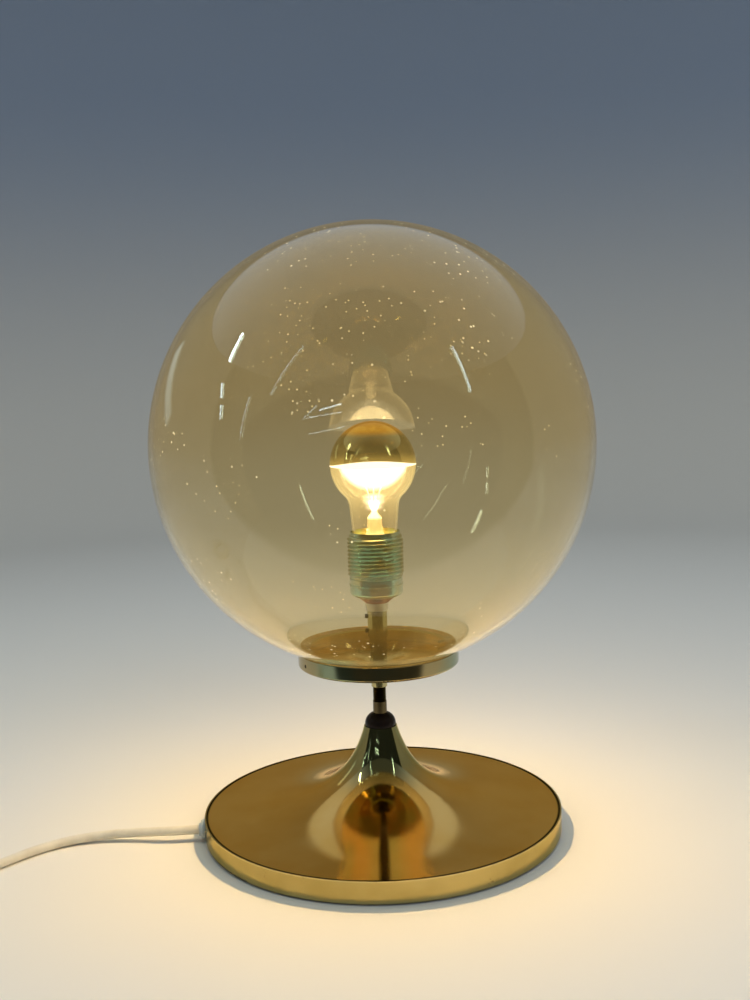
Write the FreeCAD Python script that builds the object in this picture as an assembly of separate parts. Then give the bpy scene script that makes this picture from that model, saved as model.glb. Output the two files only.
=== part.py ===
import FreeCAD, Part
import math
import os

# Glass globe table lamp. Millimetres, +Z up. The origin is the centre of the base's underside,
# which is the table top, and the lamp's axis is the Z axis.

V = FreeCAD.Vector
os.makedirs("parts", exist_ok=True)

# ---------------------------------------------------------------- driving dimensions

# clearances
SOFT_GAP = 0.3        # between glass and metal
SLIP_GAP = 0.05       # radial, a tube in its hole
LOOSE_GAP = 0.3       # radial, an inner piece in its housing
CORD_GAP = 0.1        # radial, the cord in its bores

# base: spun trumpet, rim band, weight, cover and felt
BASE_R = 124.5
RIM_HEIGHT = 15.8
RIM_WALL = 1.3
RIM_LIP = 3.5         # how far the rim's foot turns in under the base
RIM_FOOT_LIFT = 0.4   # the metal stands this much clear of the table
RIM_FOOT_ROUND = 2.4
RIM_LEDGE = 6.2       # shelf inside the rim that carries the trumpet's edge
GROOVE = 0.45         # dark line between the trumpet's edge and the rim
TRUMPET_WALL = 1.2
TRUMPET_EDGE_DROP = 0.3
NECK_R = 11.35
NECK_Z = 73.8
TRUMPET_CURVE = 8.5   # radial shift of the trumpet's hyperbola
COVER_WALL = 1.0
FELT_THICK = 1.7
FELT_INSET = 0.4
BOSS_R = 16.0
BOSS_TOP = 36.0
BOSS_POCKET_R = 12.0
BOSS_POCKET_TOP = 20.0
CHANNEL_WIDTH = 12.4
CHANNEL_ROOF = 1.0

# stem and what it carries
STEM_R = 4.85
STEM_THREAD_R = 4.6
STEM_BORE_R = 3.9
STEM_BOTTOM = 14.0
THREAD_START = 91.0
THREAD_PITCH = 1.0
THREAD_DEPTH = 0.45
CAP_TOP = 82.7
CAP_FOOT_R = 10.7
CAP_CROWN_R = 5.5
COLLAR_BOTTOM = 101.7
COLLAR_R = 5.55
NUT_FLATS = 14.0
NUT_HEIGHT = 4.5
WASHER_R = 9.0
WASHER_THICK = 1.2

# gallery dish
GALLERY_R = 55.6
GALLERY_WALL = 1.2
GALLERY_BOTTOM = 118.7
GALLERY_HEIGHT = 10.3
GALLERY_FLOOR = 1.5
GALLERY_ROUND = 1.6
GALLERY_SCREW_R = 1.25
GALLERY_SCREW_LENGTH = 3.9
GALLERY_SCREW_AZIMUTHS = (207.5, 27.5)
GALLERY_SCREW_RISE = 4.9   # of the screws' axis above the dish's underside

# glass globe
GLOBE_R = 150.0
GLOBE_WALL = 3.0
GLOBE_NECK_ROOM = 4.65     # from the gallery's outside in to the globe's neck

# column inside the globe
COLUMN_R = 6.0
COLUMN_HEIGHT = 16.0
SLEEVE_R = 6.9
SLEEVE_HEIGHT = 19.1
SLEEVE_SCREW_R = 1.5
SLEEVE_SCREW_LENGTH = 3.9
SLEEVE_SCREW_RISES = (4.3, 14.8)
RING_HEIGHT = 5.6
RING_FOOT_R = 7.6
RING_TOP_R = 8.25

# lampholder
HOLDER_CONE_TOP_R = 14.5
HOLDER_CONE_HEIGHT = 5.0
HOLDER_SHOULDER = 2.6
HOLDER_R = 18.15
HOLDER_CAP_HEIGHT = 17.6
HOLDER_WALL = 1.0
BEAD_RISE = 13.0
BEAD_R = 0.55
SKIRT_HEIGHT = 32.0
SKIRT_THREAD_HEIGHT = 25.8
SKIRT_CREST_R = 19.4
SKIRT_ROOT_R = 18.3
SKIRT_RIM_R = 17.2
SKIRT_BORE_R = 16.2
SKIRT_PITCH = 2.25
CORE_HEIGHT = 8.5
TERMINAL_R = 2.2
TERMINAL_HEIGHT = 3.2
TERMINAL_SPACING = 18.0
SHELL_WALL = 0.9
SHELL_HEIGHT = 24.5
TONGUE_HEIGHT = 1.5

# bulb
BULB_R = 29.5
BULB_LENGTH = 106.0
BULB_WALL = 0.9
BULB_NECK_TAPER = 0.095
BULB_NECK_FLARE = 10.0
BULB_NECK_R = 16.9
MIRROR_THICK = 0.2
MIRROR_GAP = 0.04          # between the coat and the glass, so that the two stay apart
MIRROR_EDGE_DROP = 0.5     # the gold starts this far under the widest place
SCREW_R = 13.1
SCREW_DEPTH = 0.7
SCREW_PITCH = 3.62
SCREW_TURNS = 5
CAP_LENGTH = 21.5
CAP_WALL = 0.8
INSULATOR_HEIGHT = 3.8
TIP_R = 4.5
TIP_HEIGHT = 1.2
MOUNT_FOOT_R = 7.0
MOUNT_R = 5.0
MOUNT_TUBE_TOP = 12.5      # all three heights are above the mount's foot
MOUNT_WAIST = 16.5
MOUNT_WAIST_R = 2.0
MOUNT_KNOB_R = 3.6
MOUNT_TOP = 26.0
WIRE_R = 0.45
FILAMENT_R = 0.5
FILAMENT_RING_R = 9.0
FILAMENT_RISE = 41.0

# cord, gland, switch and plug
CORD_D = 6.3
LEAD_R = 2.5
CORD_AZIMUTH = 187.4
CORD_Z = 8.0
GLAND_FLANGE_R = 6.5
GLAND_FLANGE = 2.6
GLAND_THROAT_R = 4.6
GLAND_LIP_R = 4.9
GLAND_COLLAR = 1.6
GLAND_TAIL = 9.0
CORD_STRAIGHT = 16.0       # the cord runs straight this far out of the rim
FLOOR_LIFT = 0.1           # the cord's underside above the table
SWITCH_LENGTH = 52.0
SWITCH_WIDTH = 24.0
SWITCH_HEIGHT = 17.0
SWITCH_NEAR_X = -324.0
SWITCH_Y = -82.0
SWITCH_END_ROUND = 9.0
SWITCH_WALL = 5.0
SWITCH_SCREW_R = 1.6
ROCKER_LENGTH = 18.0
ROCKER_WIDTH = 8.6
ROCKER_TILT = 8.0
ROCKER_RISE = 12.6         # of the rocker's pivot above the table
ROCKER_FOOT = 2.4
ROCKER_HEAD = 5.4
PIN_R = 1.0
COIL_START_X = -417.0
COIL_INNER_R = 25.3
COIL_GAP = 0.5
COIL_HALF_TURNS = 6        # in each of the two layers
TIE_THICK = 0.7
TIE_WIDTH = 9.0
PLUG_LENGTH = 35.0
PLUG_WIDTH = 35.0
PLUG_HEIGHT = 13.7
PLUG_NOSE_WIDTH = 27.0
PLUG_TAIL_WIDTH = 14.0
PLUG_SLEEVE = 22.0
PLUG_TAIL_RUN = 36.0       # of cord, from the coil's end to the plug
PLUG_PIN_R = 2.0
PLUG_PIN_LENGTH = 19.0
PLUG_PIN_SPACING = 18.6


# ---------------------------------------------------------------- helpers

def at(r, z):
    return V(r, 0, z)


def outline(start, *steps):
    """A closed outline in the XZ plane. A step is a point for a line, ("arc", through, end), or ("curve", points)."""
    edges = []
    here = start
    for step in steps + (start,):
        if step[0] == "arc":
            edges.append(Part.Arc(at(*here), at(*step[1]), at(*step[2])).toShape())
            here = step[2]
        elif step[0] == "curve":
            curve = Part.BSplineCurve()
            curve.interpolate([at(*here)] + [at(*p) for p in step[1]])
            edges.append(curve.toShape())
            here = step[1][-1]
        elif math.dist(here, step) > 1e-6:
            edges.append(Part.LineSegment(at(*here), at(*step)).toShape())
            here = step
    return Part.Face(Part.Wire(edges))


def spun(face):
    return face.revolve(V(0, 0, 0), V(0, 0, 1), 360)


def tube(r_out, r_in, z0, z1):
    outer = Part.makeCylinder(r_out, z1 - z0, V(0, 0, z0))
    return outer.cut(Part.makeCylinder(r_in, z1 - z0, V(0, 0, z0)))


def radial(azimuth, z=0.0, r=1.0):
    a = math.radians(azimuth)
    return V(r * math.cos(a), r * math.sin(a), z)


def rod(r, start, end):
    return Part.makeCylinder(r, (end - start).Length, start, end - start)


def hexagon(flats, height, z):
    corner = flats / math.sqrt(3)
    points = [radial(60 * i, z, corner) for i in range(7)]
    return Part.Face(Part.makePolygon(points)).extrude(V(0, 0, height))


def save(name, *solids):
    shape = solids[0] if len(solids) == 1 else Part.makeCompound(list(solids))
    shape.exportStep("parts/" + name + ".step")


# ---------------------------------------------------------------- base

rim_inner = BASE_R - RIM_WALL
trumpet_edge_r = rim_inner - GROOVE
trumpet_edge_z = RIM_HEIGHT - TRUMPET_EDGE_DROP
trumpet_gain = ((NECK_Z - trumpet_edge_z)
                / (1 / (NECK_R + TRUMPET_CURVE) - 1 / (trumpet_edge_r + TRUMPET_CURVE)))
trumpet_floor = NECK_Z - trumpet_gain / (NECK_R + TRUMPET_CURVE)


def trumpet(r, inward=0.0):
    """A point on the trumpet's hyperbola at radius r, moved inward along the normal."""
    slope = -trumpet_gain / (r + TRUMPET_CURVE) ** 2
    size = math.hypot(1, slope)
    z = trumpet_floor + trumpet_gain / (r + TRUMPET_CURVE)
    return (r + inward * slope / size, z - inward / size)


def trumpet_line(inward, steps=18):
    """Points down the trumpet, closer together where it bends most."""
    ratio = (trumpet_edge_r / NECK_R) ** (1 / steps)
    return [trumpet(NECK_R * ratio ** i, inward) for i in range(1, steps + 1)]


outer_line = trumpet_line(0)
inner_line = trumpet_line(TRUMPET_WALL)[::-1]
neck_hole = STEM_R + SLIP_GAP
inner_neck = trumpet(NECK_R, TRUMPET_WALL)
save("base_plate", spun(outline(
    (neck_hole, NECK_Z), (NECK_R, NECK_Z), ("curve", outer_line), inner_line[0],
    ("curve", inner_line[1:] + [inner_neck]),
    (inner_neck[0], NECK_Z - TRUMPET_WALL), (neck_hole, NECK_Z - TRUMPET_WALL))))

ledge_top = trumpet(trumpet_edge_r, TRUMPET_WALL)[1]
ledge_bottom = ledge_top - RIM_WALL
foot_top = RIM_FOOT_LIFT + RIM_WALL
round_mid = RIM_FOOT_ROUND * (1 - math.sqrt(0.5))
rim = spun(outline(
    (BASE_R, RIM_HEIGHT),
    (BASE_R, RIM_FOOT_LIFT + RIM_FOOT_ROUND),
    ("arc", (BASE_R - round_mid, RIM_FOOT_LIFT + round_mid), (BASE_R - RIM_FOOT_ROUND, RIM_FOOT_LIFT)),
    (BASE_R - RIM_LIP, RIM_FOOT_LIFT),
    (BASE_R - RIM_LIP, foot_top),
    (rim_inner, foot_top),
    (rim_inner, ledge_bottom),
    (rim_inner - RIM_LEDGE, ledge_bottom),
    (rim_inner - RIM_LEDGE, ledge_top),
    (rim_inner, ledge_top),
    (rim_inner, RIM_HEIGHT)))
gland_hole = rod(GLAND_THROAT_R + SLIP_GAP, radial(CORD_AZIMUTH, CORD_Z, rim_inner - RIM_LIP),
                 radial(CORD_AZIMUTH, CORD_Z, BASE_R + RIM_LIP))
save("base_rim", rim.cut(gland_hole))

cover_r = rim_inner - LOOSE_GAP
cover_top = foot_top + COVER_WALL
save("base_cover", Part.makeCylinder(cover_r, COVER_WALL, V(0, 0, foot_top)))
felt_r = BASE_R - RIM_LIP - FELT_INSET
save("base_felt", Part.makeCylinder(felt_r, foot_top))

weight_r = rim_inner - 2 * LOOSE_GAP
weight = spun(outline(
    (STEM_R + SLIP_GAP, BOSS_POCKET_TOP), (BOSS_POCKET_R, BOSS_POCKET_TOP), (BOSS_POCKET_R, cover_top),
    (weight_r, cover_top), (weight_r, ledge_bottom), (BOSS_R * 1.7, ledge_bottom),
    (BOSS_R, ledge_bottom + BOSS_R * 0.7), (BOSS_R, BOSS_TOP), (STEM_R + SLIP_GAP, BOSS_TOP)))
channel = Part.makeBox(weight_r, CHANNEL_WIDTH, ledge_bottom - CHANNEL_ROOF - cover_top,
                       V(0, -CHANNEL_WIDTH / 2, cover_top))
channel.rotate(V(0, 0, 0), V(0, 0, 1), CORD_AZIMUTH)
lip_start = rim_inner - SLIP_GAP
gland_room = rod(GLAND_LIP_R + LOOSE_GAP, radial(CORD_AZIMUTH, CORD_Z, lip_start - GLAND_TAIL - LOOSE_GAP),
                 radial(CORD_AZIMUTH, CORD_Z, BASE_R))
save("base_weight", weight.cut(channel).cut(gland_room))

nut_bore = Part.makeCylinder(STEM_R + SLIP_GAP, BOSS_TOP + 4 * NUT_HEIGHT)
washers = []
nuts = []
for washer_z, nut_z in ((BOSS_POCKET_TOP - WASHER_THICK, BOSS_POCKET_TOP - WASHER_THICK - NUT_HEIGHT),
                        (BOSS_TOP, BOSS_TOP + WASHER_THICK)):
    washers.append(Part.makeCylinder(WASHER_R, WASHER_THICK, V(0, 0, washer_z)).cut(nut_bore))
    nuts.append(hexagon(NUT_FLATS, NUT_HEIGHT, nut_z).cut(nut_bore))
save("stem_washers", *washers)
save("stem_nuts", *nuts)

# ---------------------------------------------------------------- stem

gallery_floor_top = GALLERY_BOTTOM + GALLERY_FLOOR
column_top = gallery_floor_top + COLUMN_HEIGHT
sleeve_top = column_top + SLEEVE_HEIGHT
ring_top = sleeve_top + RING_HEIGHT
holder_cap_top = ring_top + HOLDER_CAP_HEIGHT
core_bottom = holder_cap_top - CORE_HEIGHT
holder_nut_z = ring_top + HOLDER_WALL
stem_top = holder_nut_z + NUT_HEIGHT

thread = [(STEM_R, THREAD_START)]
ridge_z = THREAD_START
while ridge_z + THREAD_PITCH < COLLAR_BOTTOM + THREAD_PITCH:
    thread += [(STEM_THREAD_R - THREAD_DEPTH, ridge_z + 0.25 * THREAD_PITCH),
               (STEM_THREAD_R, ridge_z + 0.75 * THREAD_PITCH)]
    ridge_z += THREAD_PITCH
save("stem_tube", spun(outline(
    (STEM_BORE_R, STEM_BOTTOM), (STEM_R, STEM_BOTTOM), *thread,
    (STEM_THREAD_R, ridge_z), (STEM_THREAD_R, stem_top), (STEM_BORE_R, stem_top))))

thread_hole = STEM_THREAD_R + SLIP_GAP
cap_height = CAP_TOP - NECK_Z
cap_mid = (CAP_CROWN_R + 0.78 * (CAP_FOOT_R - CAP_CROWN_R), NECK_Z + 0.62 * cap_height)
save("neck_cap", spun(outline(
    (neck_hole, NECK_Z), (CAP_FOOT_R, NECK_Z), ("arc", cap_mid, (CAP_CROWN_R, CAP_TOP)), (neck_hole, CAP_TOP))))

save("gallery_collar", tube(COLLAR_R, thread_hole, COLLAR_BOTTOM, GALLERY_BOTTOM))
save("stem_column", tube(COLUMN_R, thread_hole, gallery_floor_top, column_top))

sleeve = tube(SLEEVE_R, thread_hole, column_top, sleeve_top)
sleeve_screws = []
for rise in SLEEVE_SCREW_RISES:
    z = column_top + rise
    tip = radial(180, z, thread_hole + SLIP_GAP)
    head = radial(180, z, thread_hole + SLIP_GAP + SLEEVE_SCREW_LENGTH)
    sleeve = sleeve.cut(rod(SLEEVE_SCREW_R + SLIP_GAP, V(0, 0, z), head))
    slot = Part.makeBox(1.4, 0.5, 2 * SLEEVE_SCREW_R, V(head.x - 0.4, -0.25, z - SLEEVE_SCREW_R))
    sleeve_screws.append(rod(SLEEVE_SCREW_R, tip, head).cut(slot))
save("holder_sleeve", sleeve)
save("sleeve_screws", *sleeve_screws)

save("holder_ring", spun(outline(
    (thread_hole, sleeve_top), (RING_FOOT_R, sleeve_top), (RING_TOP_R, ring_top), (thread_hole, ring_top))))

# ---------------------------------------------------------------- gallery dish

gallery_top = GALLERY_BOTTOM + GALLERY_HEIGHT
gallery_inner = GALLERY_R - GALLERY_WALL
globe_neck_r = GALLERY_R - GLOBE_NECK_ROOM
edge_r = GALLERY_WALL / 2
edge_z = gallery_top - edge_r
corner = GALLERY_ROUND * (1 - math.sqrt(0.5))
gallery = spun(outline(
    (thread_hole, GALLERY_BOTTOM), (GALLERY_R - GALLERY_ROUND, GALLERY_BOTTOM),
    ("arc", (GALLERY_R - corner, GALLERY_BOTTOM + corner), (GALLERY_R, GALLERY_BOTTOM + GALLERY_ROUND)),
    (GALLERY_R, edge_z), ("arc", (GALLERY_R - edge_r, gallery_top), (gallery_inner, edge_z)),
    (gallery_inner, gallery_floor_top), (thread_hole, gallery_floor_top)))
screw_z = GALLERY_BOTTOM + GALLERY_SCREW_RISE
screw_tip_r = globe_neck_r + SOFT_GAP + SLIP_GAP
for number, azimuth in enumerate(GALLERY_SCREW_AZIMUTHS, 1):
    tip = radial(azimuth, screw_z, screw_tip_r)
    head = radial(azimuth, screw_z, screw_tip_r + GALLERY_SCREW_LENGTH)
    gallery = gallery.cut(rod(GALLERY_SCREW_R + SLIP_GAP, tip, radial(azimuth, screw_z, GALLERY_R + 1)))
    slot = Part.makeBox(0.8, 0.5, 2 * GALLERY_SCREW_R,
                        V(screw_tip_r + GALLERY_SCREW_LENGTH - 0.6, -0.25, screw_z - GALLERY_SCREW_R))
    slot.rotate(V(0, 0, 0), V(0, 0, 1), azimuth)
    save("gallery_screw_%d" % number, rod(GALLERY_SCREW_R, tip, head).cut(slot))
save("gallery", gallery)

# ---------------------------------------------------------------- glass globe

rim_line_r = GALLERY_R - edge_r
globe_z = edge_z + math.sqrt((GLOBE_R + SOFT_GAP + edge_r) ** 2 - rim_line_r ** 2)
globe_inner = GLOBE_R - GLOBE_WALL
neck_inner = globe_neck_r - GLOBE_WALL


def on_globe(radius, r):
    return (r, globe_z - math.sqrt(radius ** 2 - r ** 2))


save("glass_globe", spun(outline(
    (0, globe_z + globe_inner), (0, globe_z + GLOBE_R),
    ("arc", (GLOBE_R, globe_z), on_globe(GLOBE_R, globe_neck_r)),
    (globe_neck_r, gallery_floor_top), (neck_inner, gallery_floor_top), on_globe(globe_inner, neck_inner),
    ("arc", (globe_inner, globe_z), (0, globe_z + globe_inner)))))

# ---------------------------------------------------------------- lampholder

shoulder_z = ring_top + HOLDER_CONE_HEIGHT
wall_z = shoulder_z + HOLDER_SHOULDER
shoulder_mid = (HOLDER_CONE_TOP_R + 0.74 * (HOLDER_R - HOLDER_CONE_TOP_R), shoulder_z + 0.3 * HOLDER_SHOULDER)
bead_z = ring_top + BEAD_RISE
holder_inner = HOLDER_R - HOLDER_WALL
save("lampholder_cap", spun(outline(
    (thread_hole, ring_top), (RING_TOP_R, ring_top), (HOLDER_CONE_TOP_R, shoulder_z), ("arc", shoulder_mid, (HOLDER_R, wall_z)),
    (HOLDER_R, bead_z - BEAD_R), ("arc", (HOLDER_R + BEAD_R, bead_z), (HOLDER_R, bead_z + BEAD_R)),
    (HOLDER_R, holder_cap_top), (holder_inner, holder_cap_top), (holder_inner, wall_z + HOLDER_WALL / 2),
    (HOLDER_CONE_TOP_R - HOLDER_WALL, shoulder_z + HOLDER_WALL),
    (RING_TOP_R + HOLDER_WALL, ring_top + HOLDER_WALL), (thread_hole, ring_top + HOLDER_WALL))))
stem_end_bore = Part.makeCylinder(thread_hole, stem_top)
save("holder_nut", hexagon(NUT_FLATS - 1, NUT_HEIGHT, holder_nut_z).cut(stem_end_bore))

core = Part.makeCylinder(holder_inner - LOOSE_GAP, CORE_HEIGHT, V(0, 0, core_bottom))
save("lampholder_core", core)
terminals = []
for side in (-1, 1):
    foot = V(side * TERMINAL_SPACING / 2, 0, core_bottom - TERMINAL_HEIGHT)
    terminals.append(Part.makeCylinder(TERMINAL_R, TERMINAL_HEIGHT, foot))
save("lampholder_terminals", *terminals)

skirt_top = holder_cap_top + SKIRT_HEIGHT
thread_top = holder_cap_top + SKIRT_THREAD_HEIGHT
crests = int(SKIRT_THREAD_HEIGHT / SKIRT_PITCH)
ridges = []
for i in range(crests):
    z = holder_cap_top + (i + 0.5) * SKIRT_THREAD_HEIGHT / crests
    half = SKIRT_THREAD_HEIGHT / crests / 2
    ridges += [(SKIRT_CREST_R, z - 0.3 * half), (SKIRT_CREST_R, z + 0.3 * half), (SKIRT_ROOT_R, z + half)]
save("lampholder_skirt", spun(outline(
    (SKIRT_BORE_R, holder_cap_top), (SKIRT_ROOT_R, holder_cap_top), *ridges,
    (SKIRT_RIM_R, thread_top), (SKIRT_RIM_R, skirt_top - 0.5), (SKIRT_RIM_R - 0.4, skirt_top),
    (SKIRT_BORE_R, skirt_top))))

shell_inner = SCREW_R + LOOSE_GAP + SLIP_GAP
save("lampholder_shell", tube(shell_inner + SHELL_WALL, shell_inner, holder_cap_top, holder_cap_top + SHELL_HEIGHT))
tongue = Part.makeBox(12, 4, TONGUE_HEIGHT, V(-6, -2, holder_cap_top))
save("lampholder_contact", tongue)

# ---------------------------------------------------------------- bulb

bulb_bottom = holder_cap_top + TONGUE_HEIGHT
bulb_top = bulb_bottom + BULB_LENGTH
glass_r = BULB_R - MIRROR_THICK - MIRROR_GAP
bulb_z = bulb_top - BULB_R
insulator_bottom = bulb_bottom + TIP_HEIGHT
cap_bottom = insulator_bottom + INSULATOR_HEIGHT
cap_top = cap_bottom + CAP_LENGTH

flare_r = BULB_NECK_R + BULB_NECK_FLARE
flare_z = bulb_z - math.sqrt((glass_r + BULB_NECK_FLARE) ** 2 - flare_r ** 2)
lean = math.atan(BULB_NECK_TAPER)


def bulb_half(wall):
    """Bulb's meridian from the cap up to the crown, moved in by the wall: neck, flare and round part."""
    big = glass_r - wall
    small = BULB_NECK_FLARE + wall
    neck = (flare_r - small * math.cos(lean), flare_z + small * math.sin(lean))
    foot = (neck[0] - BULB_NECK_TAPER * (neck[1] - cap_top), cap_top)
    share = big / (big + small)
    meet = (share * flare_r, bulb_z + share * (flare_z - bulb_z))
    turn = 0.5 * (lean + math.atan2(bulb_z - flare_z, flare_r))
    bend = (flare_r - small * math.cos(turn), flare_z + small * math.sin(turn))
    return foot, neck, bend, meet, big


foot, neck, bend, meet, big = bulb_half(0)
foot_in, neck_in, bend_in, meet_in, big_in = bulb_half(BULB_WALL)
foot_in = (foot_in[0], cap_top + BULB_WALL)
save("bulb_glass", spun(outline(
    (0, cap_top), foot, neck, ("arc", bend, meet), ("arc", (big, bulb_z), (0, bulb_z + big)),
    (0, bulb_z + big_in), ("arc", (big_in, bulb_z), meet_in), ("arc", bend_in, neck_in), foot_in,
    (0, cap_top + BULB_WALL))))

gold_r = BULB_R - MIRROR_THICK
gold_low = bulb_z - MIRROR_EDGE_DROP
gold_out = (math.sqrt(BULB_R ** 2 - MIRROR_EDGE_DROP ** 2), gold_low)
gold_in = (math.sqrt(gold_r ** 2 - MIRROR_EDGE_DROP ** 2), gold_low)
slant = math.sqrt(0.5)
save("bulb_mirror", spun(outline(
    gold_in, gold_out, ("arc", (BULB_R * slant, bulb_z + BULB_R * slant), (0, bulb_z + BULB_R)),
    (0, bulb_z + gold_r), ("arc", (gold_r * slant, bulb_z + gold_r * slant), gold_in))))

screw_line = []
for i in range(SCREW_TURNS):
    z = cap_bottom + i * SCREW_PITCH
    screw_line += [(SCREW_R - SCREW_DEPTH, z), (SCREW_R, z + 0.35 * SCREW_PITCH), (SCREW_R, z + 0.65 * SCREW_PITCH)]
screw_end = cap_bottom + SCREW_TURNS * SCREW_PITCH
cap_bore = SCREW_R - SCREW_DEPTH - CAP_WALL
save("bulb_cap", spun(outline(
    (cap_bore, cap_bottom), *screw_line, (SCREW_R - SCREW_DEPTH, screw_end), (foot[0], cap_top),
    (cap_bore, cap_top))))
save("bulb_insulator", spun(outline(
    (0, insulator_bottom), (TIP_R, insulator_bottom), (cap_bore, cap_bottom), (0, cap_bottom))))
save("bulb_tip", Part.makeCylinder(TIP_R, TIP_HEIGHT, V(0, 0, bulb_bottom)))

mount_foot = cap_top + BULB_WALL
mount_top = mount_foot + MOUNT_TOP
knob_z = 0.5 * (mount_foot + MOUNT_WAIST + mount_top)
mount = spun(outline(
    (0, mount_foot), (MOUNT_FOOT_R, mount_foot),
    ("arc", (MOUNT_R + 0.6, mount_foot + 0.3 * MOUNT_TUBE_TOP), (MOUNT_R, mount_foot + 0.7 * MOUNT_TUBE_TOP)),
    (MOUNT_R, mount_foot + MOUNT_TUBE_TOP),
    ("curve", [(0.5 * (MOUNT_R + MOUNT_WAIST_R), mount_foot + 0.6 * MOUNT_TUBE_TOP + 0.4 * MOUNT_WAIST),
               (MOUNT_WAIST_R, mount_foot + MOUNT_WAIST), (MOUNT_KNOB_R, knob_z), (2 * WIRE_R, mount_top)]),
    (0, mount_top)))
save("bulb_mount", mount)
filament_z = mount_foot + FILAMENT_RISE
wires = []
for azimuth in (150, 30, 270):
    low = radial(azimuth, knob_z, WIRE_R * 3)
    high = radial(azimuth, filament_z, FILAMENT_RING_R)
    wires.append(rod(WIRE_R, low, high))
wires_all = wires[0].fuse(wires[1]).fuse(wires[2]).cut(mount)
save("bulb_wires", *wires_all.Solids)
ring_start = radial(150, filament_z + WIRE_R, FILAMENT_RING_R)
ring_path = Part.Wire(Part.Arc(ring_start, radial(270, filament_z + WIRE_R, FILAMENT_RING_R),
                               radial(390, filament_z + WIRE_R, FILAMENT_RING_R)).toShape())
tangent = V(-ring_start.y, ring_start.x, 0)
ring_section = Part.Wire(Part.makeCircle(FILAMENT_R, ring_start, tangent))
filament = ring_path.makePipeShell([ring_section], True, False)
filament.translate(V(0, 0, FILAMENT_R))
save("bulb_filament", filament)

# ---------------------------------------------------------------- cord

cord_r = CORD_D / 2
cord_floor = cord_r + FLOOR_LIFT


def mid_of_arc(start, direction, end):
    """The middle point of the arc that leaves start in a direction and reaches end."""
    chord = end - start
    length = chord.Length
    along = chord / length
    cosine = max(-1.0, min(1.0, along.dot(direction)))
    side = direction - along * cosine
    side.normalize()
    return start + along * (length / 2) + side * (length / 2 * math.tan(math.acos(cosine) / 2))


def rounded(points, name):
    """A wire of straight runs joined by tangent arcs. It prints the smallest arc."""
    edges = []
    start = points[0]
    radii = []
    for before, here, after in zip(points, points[1:], points[2:]):
        into = here - before
        out = after - here
        run = min(into.Length, out.Length)
        reach = 0.45 * run
        into.normalize()
        out.normalize()
        arc_start = here - into * reach
        arc_end = here + out * reach
        edges.append(Part.LineSegment(start, arc_start).toShape())
        edges.append(Part.Arc(arc_start, mid_of_arc(arc_start, into, arc_end), arc_end).toShape())
        radii.append(reach / math.tan(0.5 * into.getAngle(out)))
        start = arc_end
    edges.append(Part.LineSegment(start, points[-1]).toShape())
    if radii:
        print(name, "arc radii", [round(r, 1) for r in radii], "mm")
    return Part.Wire(edges)


def piped(wire, radius, name):
    """A round tube along the wire. It prints how its volume compares with section times length."""
    first = wire.OrderedEdges[0]
    section = Part.Wire(Part.makeCircle(radius, first.valueAt(first.FirstParameter),
                                        first.tangentAt(first.FirstParameter)))
    solid = wire.makePipeShell([section], True, False)
    ratio = solid.Volume / (math.pi * radius ** 2 * wire.Length)
    print(name, "length", round(wire.Length, 1), "mm, volume over section x length", round(ratio, 5))
    return solid


# gland: a moulded bush that snaps into the rim, with the cord through it
gland_face = BASE_R + SLIP_GAP
gland_out = gland_face + GLAND_FLANGE
bush = outline(
    (cord_r + CORD_GAP, lip_start - GLAND_TAIL), (GLAND_THROAT_R - 0.8, lip_start - GLAND_TAIL),
    (GLAND_THROAT_R, lip_start - 3), (GLAND_LIP_R, lip_start - 1), (GLAND_THROAT_R, lip_start),
    (GLAND_THROAT_R, gland_face), (GLAND_FLANGE_R, gland_face), (GLAND_FLANGE_R, gland_out - 0.6),
    (GLAND_FLANGE_R - 0.6, gland_out), (GLAND_THROAT_R, gland_out), (GLAND_THROAT_R - 0.5, gland_out + GLAND_COLLAR),
    (cord_r + CORD_GAP, gland_out + GLAND_COLLAR))
gland = spun(bush)
gland.rotate(V(0, 0, 0), V(0, 1, 0), 90)
gland.rotate(V(0, 0, 0), V(0, 0, 1), CORD_AZIMUTH)
gland.translate(V(0, 0, CORD_Z))
save("cord_gland", gland)

cord_start = radial(CORD_AZIMUTH, CORD_Z, lip_start - GLAND_TAIL)
switch_far_x = SWITCH_NEAR_X - SWITCH_LENGTH
switch_mid_z = SWITCH_HEIGHT / 2
switch_in = V(SWITCH_NEAR_X - SWITCH_WALL, SWITCH_Y, switch_mid_z)
switch_out = V(switch_far_x + SWITCH_WALL, SWITCH_Y, switch_mid_z)
lead_route = [
    cord_start,
    radial(CORD_AZIMUTH, CORD_Z, BASE_R + CORD_STRAIGHT),
    V(-164, -15.0, 6.6),
    V(-187, -12.6, 5.0),
    V(-209, -15.4, 3.9),
    V(-229, -25, cord_floor),
    V(-243, -39, cord_floor),
    V(-256, -55, cord_floor),
    V(-272, -70, cord_floor),
    V(-291, -79, 4.2),
    V(-310, SWITCH_Y, switch_mid_z - 0.3),
    switch_in,
]
save("cord_lead", piped(rounded(lead_route, "cord_lead"), cord_r, "cord_lead"))

coil_z = cord_r + TIE_THICK + FLOOR_LIFT
coil_step = CORD_D + COIL_GAP
coil_outer_r = COIL_INNER_R + COIL_HALF_TURNS * coil_step / 2
coil_entry = V(COIL_START_X + CORD_D, SWITCH_Y, coil_z)
link_route = [
    switch_out,
    V(switch_far_x - 6, SWITCH_Y, switch_mid_z),
    V(COIL_START_X + CORD_D + 13, SWITCH_Y, coil_z),
    coil_entry,
]
save("cord_link", piped(rounded(link_route, "cord_link"), cord_r, "cord_link"))


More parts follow.
